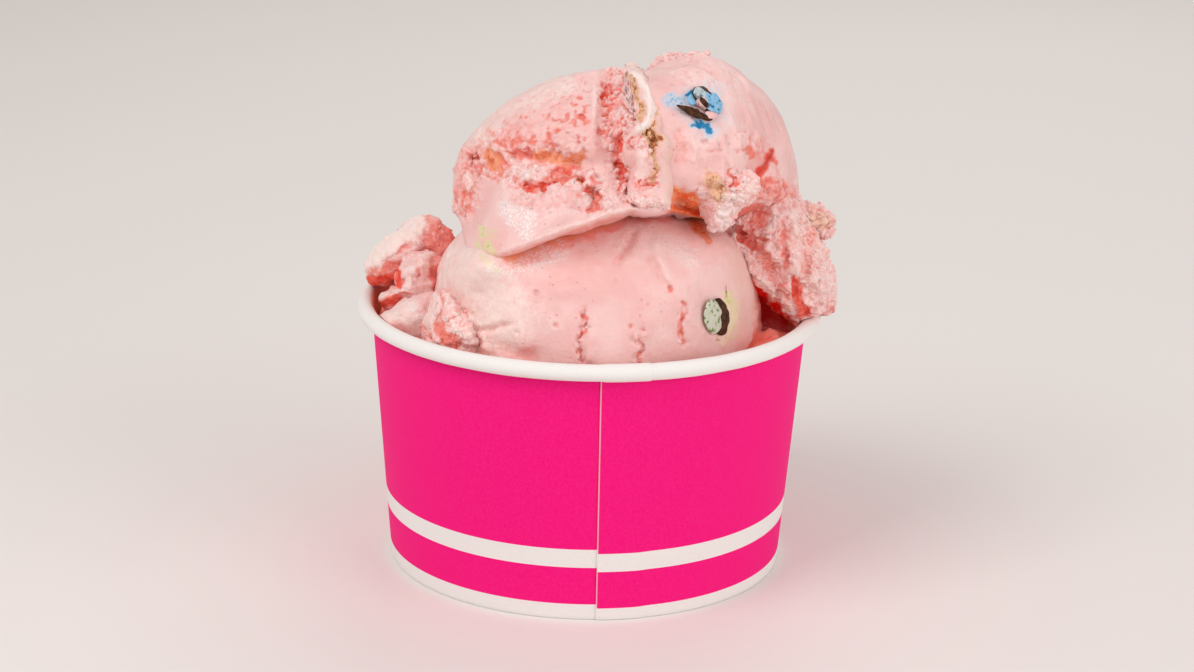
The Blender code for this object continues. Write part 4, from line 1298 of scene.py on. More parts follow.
LOWER = HeapPiece(
    name="lower_scoop_flesh",
    node="lower_scoop",
    form=LOWER_FORM,
    steps=126,
    grain=Grain(soft=0.36, soft_size=8.5, clump=0.8, clump_size=2.0, crumb=0.4, crumb_size=0.9),
    # Hollow and orange strokes are painted shade in grooves and in the crease under the upper scoop's flap;
    # the wide pale strokes at the left are painted light on the lit side, and the narrow ones painted
    # highlights on ridges; icy ones are frost with painted glints.
    strokes=(
        Stroke(((-25.0, 61.0), (-22.8, 58.4), (-20.6, 56.8)), 5.2, 7.0),
        Stroke(((-24.0, 52.5), (-21.0, 47.0), (-19.5, 41.5), (-18.0, 36.0)), 4.5, 2.4),
        Stroke(((8.0, 62.5), (6.3, 59.5), (5.0, 56.8)), 0.8, -0.5, 0.2, {HOLLOW_SHADE: 0.2}),
        Stroke(((9.2, 61.5), (8.0, 58.0)), 1.4, 0.7),
        Stroke(((12.0, 60.5), (13.2, 57.5), (14.4, 54.0)), 1.1, 0.6, 0.2, {PALE_AND_LIT: 0.3}),
        Stroke(((11.2, 58.0), (12.6, 54.8), (13.6, 52.8)), 0.9, -0.7, 0.2, {HOLLOW_SHADE: 0.15}),
        Stroke(((12.8, 55.9), (13.8, 53.6), (14.6, 52.1)), 0.6, -0.45, 0.1, {PALE_AND_LIT: 0.3}),
        Stroke(((15.0, 52.2), (15.2, 51.5)), 0.5, -0.9, 0.0, {HOLLOW_SHADE: 0.4}),
        Stroke(((-21.5, 50.6), (-20.8, 50.2)), 1.1, -0.7, 0.1, {HOLLOW_SHADE: 0.15}),
        Stroke(((-10.2, 50.8), (-10.0, 50.6)), 1.0, 0.3),
        Stroke(((-10.2, 50.8), (-10.0, 50.6)), 0.4, -0.8, 0.0, {HOLLOW_SHADE: 0.2}),
        Stroke(((-6.5, 44.4), (-6.3, 44.2)), 1.0, 0.3),
        Stroke(((-6.5, 44.4), (-6.3, 44.2)), 0.45, -0.8, 0.0, {HOLLOW_SHADE: 0.2}),
        Stroke(((4.8, 53.3), (5.0, 53.1)), 0.4, -0.4),
        Stroke(((7.8, 44.6), (8.0, 44.4)), 0.35, -0.6, 0.0, {HOLLOW_SHADE: 0.3}),
        Stroke(((10.1, 43.9), (10.3, 43.7)), 0.4, -0.6, 0.0, {HOLLOW_SHADE: 0.3}),
        Stroke(((19.6, 59.4), (20.1, 58.9)), 0.4, -0.4, 0.2, {HOLLOW_SHADE: 0.2}),
        Stroke(((-13.8, 42.9), (-13.6, 42.7)), 0.4, -0.5, 0.0, {HOLLOW_SHADE: 0.2}),
        Stroke(
            ((-1.0, 47.0), (-0.4, 44.5), (-1.1, 43.3), (-1.7, 41.9), (-2.0, 39.9), (-1.4, 37.2)),
            0.7, -0.8, 0.9, {TORN: 0.9, HOLLOW_SHADE: 0.2},
        ),
        Stroke(
            ((9.1, 42.2), (10.2, 40.8), (9.7, 39.4), (9.2, 37.4)),
            0.7, -0.7, 0.9, {TORN: 0.9, HOLLOW_SHADE: 0.2},
        ),
        Stroke(
            ((17.5, 49.2), (18.1, 47.9), (17.1, 46.3), (17.3, 43.9), (17.8, 41.4)),
            0.6, -0.6, 0.8, {TORN: 0.8, HOLLOW_SHADE: 0.2},
        ),
        Stroke(
            ((-20.9, 43.0), (-18.6, 43.1), (-16.7, 44.1), (-15.4, 44.3)),
            0.6, -1.0, 0.3, {HOLLOW_SHADE: 0.35},
        ),
        Stroke(((-13.8, 49.5), (-14.5, 45.5), (-12.9, 40.2)), 1.6, 0.6, 0.2),
        Stroke(((-5.6, 51.2), (0.0, 52.3), (5.7, 49.5)), 1.8, 0.45, 0.2),
        Stroke(((0.2, 46.0), (0.4, 42.0), (0.2, 38.0)), 0.9, 0.45, 0.2),
        Stroke(((11.0, 52.0), (11.4, 47.0), (11.2, 43.0)), 1.3, 0.4, 0.2),
        Stroke(((18.9, 46.3), (21.8, 43.6), (25.7, 41.2)), 0.9, 0.5, 0.1),
        Stroke(((22.0, 48.6), (22.6, 46.0), (23.0, 43.6)), 2.2, -0.9, 0.2, {BEIGE: 0.25}),
        Stroke(((26.2, 51.0), (27.6, 47.0), (26.4, 43.0)), 1.0, 0.6, 0.2),
        Stroke(((25.8, 50.9), (26.8, 49.1), (27.0, 46.5), (26.5, 44.3)), 1.1, 0.0, 0.5, {OLIVE: 0.66}),
        Stroke(((-20.2, 57.4), (-18.9, 55.8), (-17.6, 54.6)), 1.0, 0.0, 0.4, {OLIVE: 0.5}),
        Stroke(((25.6, 50.6), (26.3, 49.4)), 0.4, 0.0, 0.4, {GREEN: 0.5}),
        Stroke(((25.2, 42.0), (27.4, 43.8)), 1.3, 0.0, 0.5, {OLIVE: 0.42}),
        Stroke(((25.5, 52.7), (25.7, 50.6)), 0.16, -0.2, 0.1, {DARK: 0.6}),
        Stroke(((24.4, 42.1), (24.8, 41.9)), 0.3, -0.2, 0.2, {DARK: 0.6}),
        Stroke(((-20.9, 41.4), (-16.7, 39.6), (-11.0, 38.3)), 1.8, -0.6, 0.3, {HOLLOW_SHADE: 0.28}),
        Stroke(((-23.5, 46.0), (-22.0, 42.0), (-20.0, 39.0)), 2.2, 0.0, 0.0, {TORN: 0.7}),
        Stroke(((-26.5, 58.5), (-27.5, 54.0), (-26.5, 50.0)), 1.4, 0.0, 0.0, {TORN: 0.35}),
        Stroke(
            ((-16.0, 56.8), (-11.3, 58.7), (-5.8, 61.3), (1.6, 64.0), (7.2, 66.0), (14.4, 66.8)),
            2.2, 0.0, 0.0, {HOLLOW_SHADE: 0.4},
        ),
        Stroke(
            ((-15.0, 57.8), (-11.3, 59.2), (-5.8, 61.8), (1.6, 64.5), (7.2, 66.6), (14.4, 67.4)),
            1.2, 0.0, 0.0, {WARM_SHADE: 0.7, HOLLOW_SHADE: 0.9},
        ),
        Stroke(((16.4, 67.2), (19.0, 66.0), (20.4, 63.6)), 1.4, 0.0, 0.0, {WARM_SHADE: 1.0, HOLLOW_SHADE: 0.6}),
        Stroke(((20.0, 64.0), (21.2, 62.4), (21.8, 61.2)), 0.6, -0.6, 0.3, {HOLLOW_SHADE: 0.8, WARM_SHADE: 0.6}),
        Stroke(((31.2, 53.0), (31.9, 47.0), (31.4, 40.0)), 0.8, 0.0, 0.3, {TORN: 0.5, HOLLOW_SHADE: 0.4}),
        Stroke(((-17.8, 54.8), (-13.2, 55.7), (-8.5, 57.8), (-5.4, 59.0)), 1.7, 0.1, 0.6, {FROST_AND_GLINT: 0.75}),
        Stroke(((5.4, 61.2), (11.0, 62.1), (15.1, 61.0), (18.6, 58.0)), 2.2, 0.0, 0.6, {FROST_AND_GLINT: 0.4}),
        Stroke(((27.5, 59.8), (29.2, 53.0), (29.8, 46.2)), 2.6, 0.0, 0.0, {BEIGE: 0.4}),
        Stroke(((-28.4, 56.1), (-28.6, 51.6), (-28.0, 48.7)), 1.2, 0.0, 0.0, {PALE_AND_LIT: 0.5}),
        Stroke(((-23.5, 58.0), (-22.5, 50.0), (-17.5, 46.0)), 8.5, 0.0, 0.8, {PALE_AND_LIT: 0.6}),
    ),
)
SLAB = HeapPiece(
    name="right_slab_flesh",
    node="right_slab",
    form=SLAB_FORM,
    steps=104,
    grain=Grain(
        torn=0.75, soft=0.6, clump=1.3, clump_size=2.8, crumb=0.6, crumb_size=1.1,
        crease_shade=0.22, streak=2.4, streak_degrees=-69.0
    ),
    # Painted red shade on its undersides; below, the hollow and deep red strokes are painted shade in grooves
    # and along its lower-left edge, and the pale ones painted highlights on its ridges and painted light on
    # its right face.
    red_shade_below=0.5,
    strokes=(
        Stroke(
            ((37.6, 67.0), (38.0, 62.5), (38.7, 58.5), (38.6, 55.5)),
            0.9, 0.9, 0.4, {PALE_AND_LIT: 0.5, TORN: -0.5},
        ),
        Stroke(((35.8, 65.0), (36.2, 61.0), (36.6, 57.0)), 0.7, -0.7, 0.5, {HOLLOW_SHADE: 0.35}),
        Stroke(((40.2, 64.0), (40.4, 60.5), (41.0, 57.5)), 0.7, -0.6, 0.5, {HOLLOW_SHADE: 0.3}),
        Stroke(((38.6, 64.5), (41.0, 60.0), (43.0, 55.0)), 1.3, 0.7, 0.6, {PALE_AND_LIT: 0.3}),
        Stroke(((29.2, 63.3), (31.6, 59.9), (34.6, 55.1), (36.3, 50.3)), 1.3, -0.9, 0.6, {HOLLOW_SHADE: 0.25}),
        Stroke(((37.0, 63.9), (39.1, 59.1), (40.7, 55.2)), 1.0, -0.9, 0.6, {HOLLOW_SHADE: 0.25}),
        Stroke(((27.7, 64.0), (28.7, 61.7), (31.5, 60.2)), 0.8, -1.1, 0.6, {HOLLOW_SHADE: 0.6, RED_SHADE: 0.2}),
        Stroke(((27.3, 64.0), (30.0, 62.5), (32.6, 62.0)), 0.6, -0.9, 0.6, {HOLLOW_SHADE: 0.4}),
        Stroke(((38.4, 54.0), (38.7, 51.4), (40.2, 48.0)), 1.0, -1.0, 0.6, {HOLLOW_SHADE: 0.8, RED_SHADE: 0.35}),
        Stroke(((31.4, 54.2), (34.0, 51.4), (37.2, 48.6)), 1.0, 0.9, 0.4, {PALE_AND_LIT: 0.45}),
        Stroke(
            ((28.4, 55.6), (30.6, 52.4), (33.0, 49.6), (35.4, 47.6), (37.8, 45.8)),
            1.1, 0.0, 0.2, {RED_SHADE: 1.0, HOLLOW_SHADE: 1.0, TORN: -0.5},
        ),
        Stroke(((26.7, 66.5), (27.3, 64.6), (26.8, 62.5)), 0.8, 0.8, 0.3, {PALE_AND_LIT: 0.4}),
        Stroke(((29.7, 69.4), (30.9, 66.8), (29.9, 64.1)), 1.7, -0.3, 0.4, {HOLLOW_SHADE: 0.35}),
        Stroke(((44.5, 54.0), (45.5, 50.5), (42.5, 48.6)), 1.4, 0.0, 0.4, {PALE_AND_LIT: 0.35}),
        Stroke(((38.5, 64.0), (40.5, 58.0), (44.0, 52.0)), 3.4, 0.0, 0.6, {PALE_AND_LIT: 0.36}),
    ),
)
SLAB_CRUMB = HeapPiece(
    name="slab_crumb",
    node="right_slab",
    form=SLAB_CRUMB_FORM,
    steps=48,
    grain=Grain(torn=0.9, soft=0.3, soft_size=3.0, clump=1.3, clump_size=2.2, crumb=0.5, crumb_size=0.9),
    strokes=(Stroke(((37.4, 67.4), (40.5, 66.8), (43.5, 65.4)), 1.6, 0.0, 0.5, {TAN: 0.35, BEIGE: 0.6}),),
)
CHUNK = HeapPiece(
    name="left_chunk_flesh",
    node="left_chunk",
    form=CHUNK_FORM,
    steps=78,
    grain=Grain(
        torn=0.5, soft=0.9, soft_size=4.5, clump=1.0, clump_size=3.2, crumb=0.4, crumb_size=1.2, crease_shade=0.15,
    ),
    # Painted red shade on its undersides; below, the hollow and deep red strokes are painted shade on its
    # right side and along its base, and the wide pale stroke painted light on its lit top left.
    red_shade_below=0.5,
    strokes=(
        Stroke(((-31.9, 63.6), (-29.6, 61.9), (-28.1, 58.4)), 2.6, -1.0, 0.4, {HOLLOW_SHADE: 0.38}),
        Stroke(((-27.0, 62.6), (-25.6, 60.0)), 0.8, 0.0, 0.4, {HOLLOW_SHADE: 0.6}),
        Stroke(((-30.0, 57.8), (-35.6, 55.8), (-40.8, 54.2)), 0.9, -0.6, 0.5, {HOLLOW_SHADE: 0.5}),
        Stroke(((-43.0, 53.0), (-40.5, 52.2), (-37.5, 53.2)), 0.9, -0.6, 0.3, {HOLLOW_SHADE: 0.9, RED_SHADE: 0.55}),
        Stroke(((-36.5, 52.9), (-34.0, 54.6), (-30.0, 55.2)), 0.9, 0.0, 0.3, {HOLLOW_SHADE: 0.9, RED_SHADE: 0.5}),
        Stroke(((-41.2, 57.0), (-37.5, 60.4), (-33.4, 63.2)), 2.6, 0.0, 0.0, {PALE_AND_LIT: 1.0, TORN: -0.3}),
        Stroke(((-38.5, 56.0), (-33.5, 59.5)), 0.5, -0.5, 0.6, {HOLLOW_SHADE: 0.25}),
    ),
)
KNOBS = HeapPiece(
    name="left_knobs_flesh",
    node="left_knobs",
    form=KNOBS_FORM,
    steps=74,
    grain=Grain(
        torn=0.4, soft=0.7, soft_size=3.0, clump=0.9, clump_size=2.6, crumb=0.4, crumb_size=1.1, crease_shade=0.15,
    ),
    # Painted red shade on its undersides; below, the pale strokes are painted highlights on the raised knobs,
    # and the hollow and deep red ones painted shade between and under them.
    red_shade_below=0.6,
    strokes=(
        Stroke(((-34.2, 54.3), (-33.3, 54.6)), 1.3, 1.6, 0.3, {PALE_AND_LIT: 0.5}),
        Stroke(((-31.6, 56.0), (-30.3, 56.5)), 1.7, 1.7, 0.3, {PALE_AND_LIT: 0.5}),
        Stroke(((-38.8, 49.4), (-36.1, 50.3), (-33.5, 51.7)), 0.9, 1.6, 0.4, {PALE_AND_LIT: 0.5}),
        Stroke(((-33.6, 52.6), (-32.8, 49.5)), 1.4, 0.7, 0.4, {PALE_AND_LIT: 0.4}),
        Stroke(((-32.4, 56.4), (-32.0, 53.6)), 0.5, -0.6, 0.4, {HOLLOW_SHADE: 0.3}),
        Stroke(((-29.3, 56.6), (-29.0, 53.6), (-28.6, 50.6)), 1.0, -1.4, 0.3, {HOLLOW_SHADE: 0.55}),
        Stroke(((-36.6, 52.6), (-35.0, 52.2)), 0.7, -1.6, 0.3, {HOLLOW_SHADE: 0.5, RED_SHADE: 0.1}),
        Stroke(((-36.0, 51.6), (-36.6, 52.8), (-35.9, 54.4)), 0.7, 0.0, 0.3, {HOLLOW_SHADE: 0.8, RED_SHADE: 0.6}),
        Stroke(((-39.4, 48.0), (-36.4, 48.2)), 1.0, 0.0, 0.3, {HOLLOW_SHADE: 0.8, RED_SHADE: 0.4}),
    ),
)
LEFT_SLAB = HeapPiece(
    name="left_slab_flesh",
    node="left_slab",
    form=LEFT_SLAB_FORM,
    steps=60,
    grain=Grain(torn=0.12, soft=0.35, soft_size=3.5, clump=0.6, crumb=0.3),
    # The pale strokes are painted light on its top, and the icy one is frost with painted glints.
    strokes=(
        Stroke(((-39.3, 46.1), (-35.6, 48.5), (-30.9, 50.2)), 0.6, 0.35, 0.3, {PALE_AND_LIT: 0.3}),
        Stroke(((-34.3, 49.2), (-32.8, 48.0), (-31.4, 45.1)), 1.3, 0.2, 0.5, {FROST_AND_GLINT: 0.5, TORN: 0.4}),
        Stroke(((-38.0, 45.0), (-34.0, 46.5), (-33.0, 43.0)), 2.0, 0.0, 0.0, {PALE_AND_LIT: 0.6}),
    ),
)
CRACKED = HeapPiece(
    name="cracked_piece_flesh",
    node="cracked_piece",
    form=CRACKED_FORM,
    steps=82,
    grain=Grain(
        torn=0.6, soft=0.5, soft_size=3.0, clump=1.0, clump_size=2.4, crumb=0.45, crumb_size=1.0, crease_shade=0.25,
    ),
    # The hollow strokes are painted shade in its cracks, and the pale ones painted highlights on its ridges
    # and lit face.
    strokes=(
        Stroke(((-27.9, 49.8), (-27.3, 48.2), (-28.4, 44.0)), 0.45, -0.9, 0.4, {HOLLOW_SHADE: 0.3}),
        Stroke(((-31.1, 48.6), (-30.9, 43.8), (-29.9, 41.2)), 0.45, -0.8, 0.4, {HOLLOW_SHADE: 0.3}),
        Stroke(((-26.5, 44.4), (-24.7, 45.5), (-23.9, 47.3)), 0.45, -0.8, 0.4, {HOLLOW_SHADE: 0.3}),
        Stroke(((-29.6, 48.7), (-29.9, 42.8)), 0.9, 0.6, 0.3, {PALE_AND_LIT: 0.5, TORN: -0.6}),
        Stroke(((-27.0, 47.5), (-22.0, 42.5), (-20.0, 37.0)), 3.0, 0.0, 0.4, {PALE_AND_LIT: 0.35}),
        Stroke(((-24.6, 43.4), (-22.0, 41.0)), 1.3, 0.8, 0.4, {PALE_AND_LIT: 0.5}),
        Stroke(((-28.4, 43.6), (-26.9, 41.3), (-25.0, 40.2)), 1.1, -0.6, 0.3, {HOLLOW_SHADE: 0.5}),
    ),
)
TOP_FLAKE = HeapPiece(
    name="top_flake",
    node="upper_scoop",
    form=Lump(
        outline=(
            (9.6, 93.8), (11.4, 95.6), (13.9, 96.5), (16.3, 96.5), (18.6, 97.1), (20.9, 97.9), (21.3, 96.6),
            (19.4, 95.6), (16.0, 94.4), (13.0, 93.4), (10.8, 93.0),
        ),
        centre=(15.5, 95.4),
        depth=-0.8,
        front=2.2,
        back=2.0,
        seed=19,
    ),
    steps=52,
    grain=Grain(
        torn=0.8, soft=0.3, soft_size=2.5, clump=0.7, clump_size=2.0, crumb=0.4, crumb_size=0.9, crease_shade=0.15,
    ),
)


def ellipse(
    centre: Place, across: float, high: float, turn_degrees: float, count: int = 14
) -> tuple[Place, ...]:
    """Points round an ellipse: centre + turned (across x cos, high x sin).

    Args:
        centre: (across, height) of the middle.
        across: half its width before it is turned.
        high: half its height before it is turned.
        turn_degrees: how far it is turned, anticlockwise.
        count: how many points there are.

    Returns:
        The outline's points.
    """
    turns = np.linspace(0, 2 * np.pi, count, endpoint=False)
    turned = np.exp(1j * math.radians(turn_degrees)) * (across * np.cos(turns) + 1j * high * np.sin(turns))
    return tuple((centre[0] + float(p.real), centre[1] + float(p.imag)) for p in turned)


# How far the dome's swelling lifts what lies on it, in mm.
BLUE_DROP_RISE = 1.7


def sweet(
    name: str, node: str, flavour: Flavour, outline: tuple[Place, ...], depth: float, front: float, seed: int
) -> HeapPiece:
    """Makes a broken bit of a chocolate drop or of its shell, bedded in the scoop that it lies on.

    Args:
        name: the piece's name.
        node: the drop's node, blue_drop or green_drop.
        flavour: what it is made of.
        outline: its outline in mm.
        depth: how far its rim lies behind the scoop's front, in mm.
        front: how far it bulges, in mm.
        seed: chooses its unevenness.

    Returns:
        The piece.
    """
    centre = tuple(float(part) for part in np.mean(outline, axis=0))
    rides = UPPER_FORM if node == "blue_drop" else LOWER_FORM
    depth -= BLUE_DROP_RISE if node == "blue_drop" else 0.0
    form = Lump(outline, centre, depth, front, 1.2, rides=rides, swell=0.12, grain=1.4, seed=seed)
    slot = "blue_shell" if node == "blue_drop" else "green_shell"
    return HeapPiece(name, node, form, 26, slot, flavour, Grain(soft=0.08, soft_size=1.2))


SWEETS = (
    sweet(
        "blue_drop_rim", "blue_drop", Flavour.CHOCOLATE,
        ellipse((20.7, 88.2), 3.3, 1.55, -42.5), -0.5, 0.7, 31,
    ),
    sweet(
        "blue_drop_shell", "blue_drop", Flavour.BLUE_SHELL,
        ellipse((21.2, 87.9), 2.6, 1.2, -42.5), -1.05, 0.4, 32,
    ),
    sweet(
        "blue_drop_worn_shell", "blue_drop", Flavour.WORN_SHELL,
        ellipse((19.4, 89.4), 1.3, 1.0, -42.5), -1.1, 0.45, 37,
    ),
    sweet(
        "blue_drop_hole", "blue_drop", Flavour.CHOCOLATE,
        ellipse((20.3, 87.8), 1.2, 0.42, -52.0), -1.4, 0.3, 33,
    ),
    sweet(
        "blue_drop_fold", "blue_drop", Flavour.ICE_CREAM,
        ellipse((19.8, 87.4), 1.0, 0.15, -42.0), -1.25, 0.2, 38,
    ),
    sweet(
        "blue_drop_crust", "blue_drop", Flavour.BLUE_SHELL,
        (
            (17.3, 88.7), (18.0, 89.5), (18.6, 88.8), (19.0, 87.7), (18.4, 87.1), (17.5, 87.5),
        ),
        -0.15, 0.4, 34,
    ),
    sweet(
        "blue_drop_wedge", "blue_drop", Flavour.CHOCOLATE,
        (
            (14.8, 87.4), (16.2, 87.0), (17.4, 86.9), (18.5, 86.5), (19.6, 85.9), (20.8, 85.2),
            (22.2, 84.7), (21.3, 84.2), (19.8, 84.7), (18.3, 85.3), (17.0, 85.9), (15.8, 86.6),
        ),
        -0.3, 0.6, 35,
    ),
    sweet(
        "blue_drop_flesh", "blue_drop", Flavour.ICE_CREAM,
        (
            (20.5, 85.9), (21.4, 86.1), (22.8, 85.8), (22.6, 84.9), (21.8, 84.6), (20.9, 85.2),
        ),
        -0.75, 0.45, 36,
    ),
    sweet(
        "green_drop_core", "green_drop", Flavour.CHOCOLATE,
        ellipse((24.6, 46.7), 1.6, 3.8, 8.0), 0.0, 0.45, 42,
    ),
    sweet(
        "green_drop_shell", "green_drop", Flavour.GREEN_SHELL,
        ellipse((23.3, 46.7), 1.55, 3.5, 6.0), -0.4, 0.4, 41,
    ),
)
HEAP = (UPPER, CURL, TONGUE, LOWER, SLAB, SLAB_CRUMB, CHUNK, KNOBS, LEFT_SLAB, CRACKED, TOP_FLAKE) + SWEETS


def within_solid(points: Array, edge: float = 1.2) -> Array:
    """Presses places back inside the solids' box: a distance d over becomes edge x (1 - exp(-d / edge)).

    Args:
        points: places in mm from the tub's axis.
        edge: how far inside the box the pressing starts, in mm.

    Returns:
        The places, all of them in the box.
    """
    low, high = (np.array(corner) / MM - (AXIS_X, 0, 0) for corner in SOLID_BOX)
    over = np.clip(points - (high - edge), 0, None)
    under = np.clip((low + edge) - points, 0, None) * (1, 1, 0)
    return points - (over - edge * (1 - np.exp(-over / edge))) + (under - edge * (1 - np.exp(-under / edge)))


# Where the wall's grid has columns round the seam's edge, in degrees past it.
SEAM_STEPS = (-1.2, -0.8, -0.5, -0.34, -0.26, -0.2, -0.14, -0.08, -0.02, 0.04, 0.12, 0.25, 0.5, 0.9)


@dataclass(frozen=True)
class PaperTub:
    """The paper tub's wall: rolled into a bead at the rim, lapped at a side seam, folded in at the foot."""

    rim_radius: float = 43.5
    bead_radius: float = 1.62
    bead_height: float = 48.38
    foot_radius: float = 36.95
    wall_top: float = 40.76
    paper: float = 0.5
    fold_height: float = 3.0
    foot_round: float = 0.3
    clear: float = 0.12
    seam_degrees: float = -86.3
    seam_tilt: float = 0.5
    lap_degrees: float = 11.6
    lap_rise: float = 0.3
    bead_slack: float = 0.12
    print_drop: float = 0.7
    groove: float = 0.14
    bead_wave: float = 0.05
    cut_edge: float = 0.62

    @property
    def bead_centre(self) -> float:
        """The bead's centre is its radius in from the rim."""
        return self.rim_radius - self.bead_radius

    def wall_radius(self, height: Array) -> Array:
        """Gives the wall's outer radius: foot + (top - foot) x height / bead height."""
        return self.foot_radius + (self.wall_top - self.foot_radius) * height / self.bead_height

    def keep_clear(self, points: Array) -> Array:
        """Moves points out of the paper: inwards below the bead's middle, and up off the bead above it.

        Args:
            points: places in mm from the tub's axis.

        Returns:
            The places, none of them in the wall or the bead.
        """
        x, y, z = points.T
        radius = np.hypot(x, y)
        reach = self.bead_radius + self.clear
        aside = np.sqrt(np.clip(reach**2 - (z - self.bead_height) ** 2, 0, None))
        limit = np.minimum(self.wall_radius(z) - self.paper - self.clear, self.bead_centre - aside)
        below = (z < self.bead_height + 0.6) & (radius > limit) & (radius < self.rim_radius + 1.0)
        scale = np.where(below, limit / np.maximum(radius, 1e-9), 1.0)
        radius = radius * scale
        top = self.bead_height + np.sqrt(np.clip(reach**2 - (radius - self.bead_centre) ** 2, 0, None))
        over = (np.abs(radius - self.bead_centre) < reach) & (z > self.bead_height) & (z < top)
        return np.stack([x * scale, y * scale, np.where(over, top, z)], axis=1)

    def profile(self) -> Array:
        """Gives the wall's closed section as (radius, height, lap, bead, outside) rows.

        Lap is how far the section moves out where the sheet lies double, bead is 1 on the rolled edge,
        and outside is 1 on the printed side.
        """
        fold_outer = self.foot_radius - 2 * self.paper - 0.6
        fold_inner = fold_outer - self.paper
        rise = np.linspace(0, 1, 16)
        inner_low = self.wall_radius(self.paper) - self.paper
        inner = np.stack(
            [
                inner_low + (self.wall_top - self.paper - inner_low) * rise,
                self.paper + (self.bead_height - self.paper) * rise,
            ],
            axis=1,
        )
        over = np.radians(np.linspace(180, -112, 49))
        back = np.radians(np.linspace(-112, 180, 33))
        arcs = [
            np.stack([np.cos(turn), np.sin(turn)], axis=1) * radius + (self.bead_centre, self.bead_height)
            for radius, turn in ((self.bead_radius, over), (self.bead_radius - self.paper, back))
        ]
        heights = np.linspace(self.bead_height - 0.4, self.foot_round, 60)
        outer = np.stack([self.wall_radius(heights), heights], axis=1)
        foot_turns = np.radians(np.linspace(-10, -80, 4))
        foot = self.foot_radius - self.foot_round
        foot = np.stack(
            [foot + self.foot_round * np.cos(foot_turns), self.foot_round * (1 + np.sin(foot_turns))], axis=1
        )
        fold = np.array(
            [
                (self.foot_radius - self.foot_round, 0.0),
                (fold_inner + self.foot_round, 0.0),
                (fold_inner, self.foot_round),
                (fold_inner, self.fold_height),
                (fold_outer, self.fold_height),
                (fold_outer, self.paper),
            ]
        )
        parts = (
            (outer, 1, 0, 1),
            (foot, 1, 0, 1),
            (fold, 0, 0, 0),
            (inner[:-1], 0, 0, 0),
            (arcs[0], 0, 1, 0),
            (arcs[1][:-1], 0, 0, 0),
        )
        rows = [np.insert(part, (2, 2, 2), flags, axis=1) for part, *flags in parts]
        return np.concatenate(rows)

    def columns(self) -> Array:
        """Gives the angles of the grid in degrees, closest at the seam's edge and at the lap's end."""
        seam, lap_end = self.seam_degrees, self.seam_degrees + self.lap_degrees
        coarse = np.arange(-180.0, 180.0, 1.5)
        coarse = coarse[(np.abs(coarse - seam) > 1.2) & (np.abs(coarse - lap_end) > 1.2)]
        edge = seam + np.array(SEAM_STEPS)
        end = lap_end + np.linspace(-1.0, 1.0, 11)
        return np.sort(np.concatenate([coarse, edge, end]))

    def wall(self) -> tuple[Surface, Array]:
        """Turns the section about the axis and steps it out where the sheet lies double.

        Returns:
            The wall, and its rows of (print height / PRINT_SPAN, bare, inner wall coral, 1) for the attribute
            "print".
        """
        profile = self.profile()
        degrees = self.columns()
        radius, height, lap, bead, outside = (np.repeat(part[:, None], len(degrees), 1) for part in profile.T)
        past = degrees[None, :] - self.seam_degrees
        tilt = self.seam_tilt * (0.5 - height / self.bead_height) * smooth_step(np.abs(past), 12.0, 2.0)
        turned = np.radians(degrees[None, :] + tilt)
        end = self.lap_degrees
        step = smooth_step(past, -0.16, 0.0) * smooth_step(past, end + 4.0, end - 1.0)
        groove = smooth_step(past, -0.5, -0.2) * smooth_step(past, -0.06, -0.16) * (past < 0)
        radius = radius + lap * (self.lap_rise * step - self.groove * groove)
        thick = smooth_step(past, -1.2, 1.5) * smooth_step(past, end + 0.2, end - 0.2)
        slack = bead * self.bead_slack * (1 - thick)
        ring = np.stack([np.cos(turned), np.sin(turned), np.zeros_like(turned)], axis=-1).reshape(-1, 3)
        waves = lattice_noise(ring * 9.0, 41).reshape(slack.shape)
        slack = slack + bead * self.bead_wave * waves * (1 - thick)
        to_bead = np.stack([radius - self.bead_centre, height - self.bead_height], axis=-1)
        to_bead /= np.maximum(np.linalg.norm(to_bead, axis=-1, keepdims=True), 1e-9)
        radius = radius - to_bead[..., 0] * np.clip(slack, 0, None)
        height = height - to_bead[..., 1] * np.clip(slack, 0, None)

        points = np.stack([radius * np.cos(turned), radius * np.sin(turned), height], axis=-1).reshape(-1, 3)
        sheet = (past % 360) / 360
        print_height = (height + self.print_drop * (1 - sheet)) * outside
        edge = smooth_step(past, -0.2, -0.1) * smooth_step(past, 0.2, 0.02) * outside
        bare = np.clip((1 - outside) + self.cut_edge * edge, 0, 1)
        inner = self.bead_centre - self.bead_radius * 0.35
        inside = (1 - outside) * smooth_step(radius, inner, inner - 0.6 * self.bead_radius)
        # A coral colour on the inner wall below the bead, strongest at the left, with a noisy lower edge.
        coral_wobble = layered_noise(points, 9.0, 43).reshape(height.shape)
        left = smooth_step(np.cos(turned), -0.2, -0.7)
        inner_wall_coral = inside * smooth_step(height + 3 * coral_wobble + 8 * left, 44.0, 46.5) * (0.2 + 0.8 * left)
        paint = np.stack([print_height / PRINT_SPAN, bare, inner_wall_coral, np.ones_like(bare)], axis=-1).reshape(-1, 4)
        return Surface(points, sheet_faces(len(profile), len(degrees))).outwards(), paint

    def build(self, finish: PrintedPaperFinish, grain: bpy.types.NodeTree) -> bpy.types.Object:
        """Makes the wall's object in printed paper, in place of its solid."""
        wall, paint = self.wall()
        obj = wall.make_object("tub_wall", finish.material(grain))
        attribute = obj.data.attributes.new("print", "FLOAT_COLOR", "POINT")
        attribute.data.foreach_set("color", paint.astype(np.float32).ravel())
        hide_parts("cup_sleeve")
        return obj


@dataclass(frozen=True)
class Mound:
    """A mound on the fill: it rises by height x exp(-(distance / size) squared). Place is (x, y) in mm."""

    place: Place
    size: float
    height: float


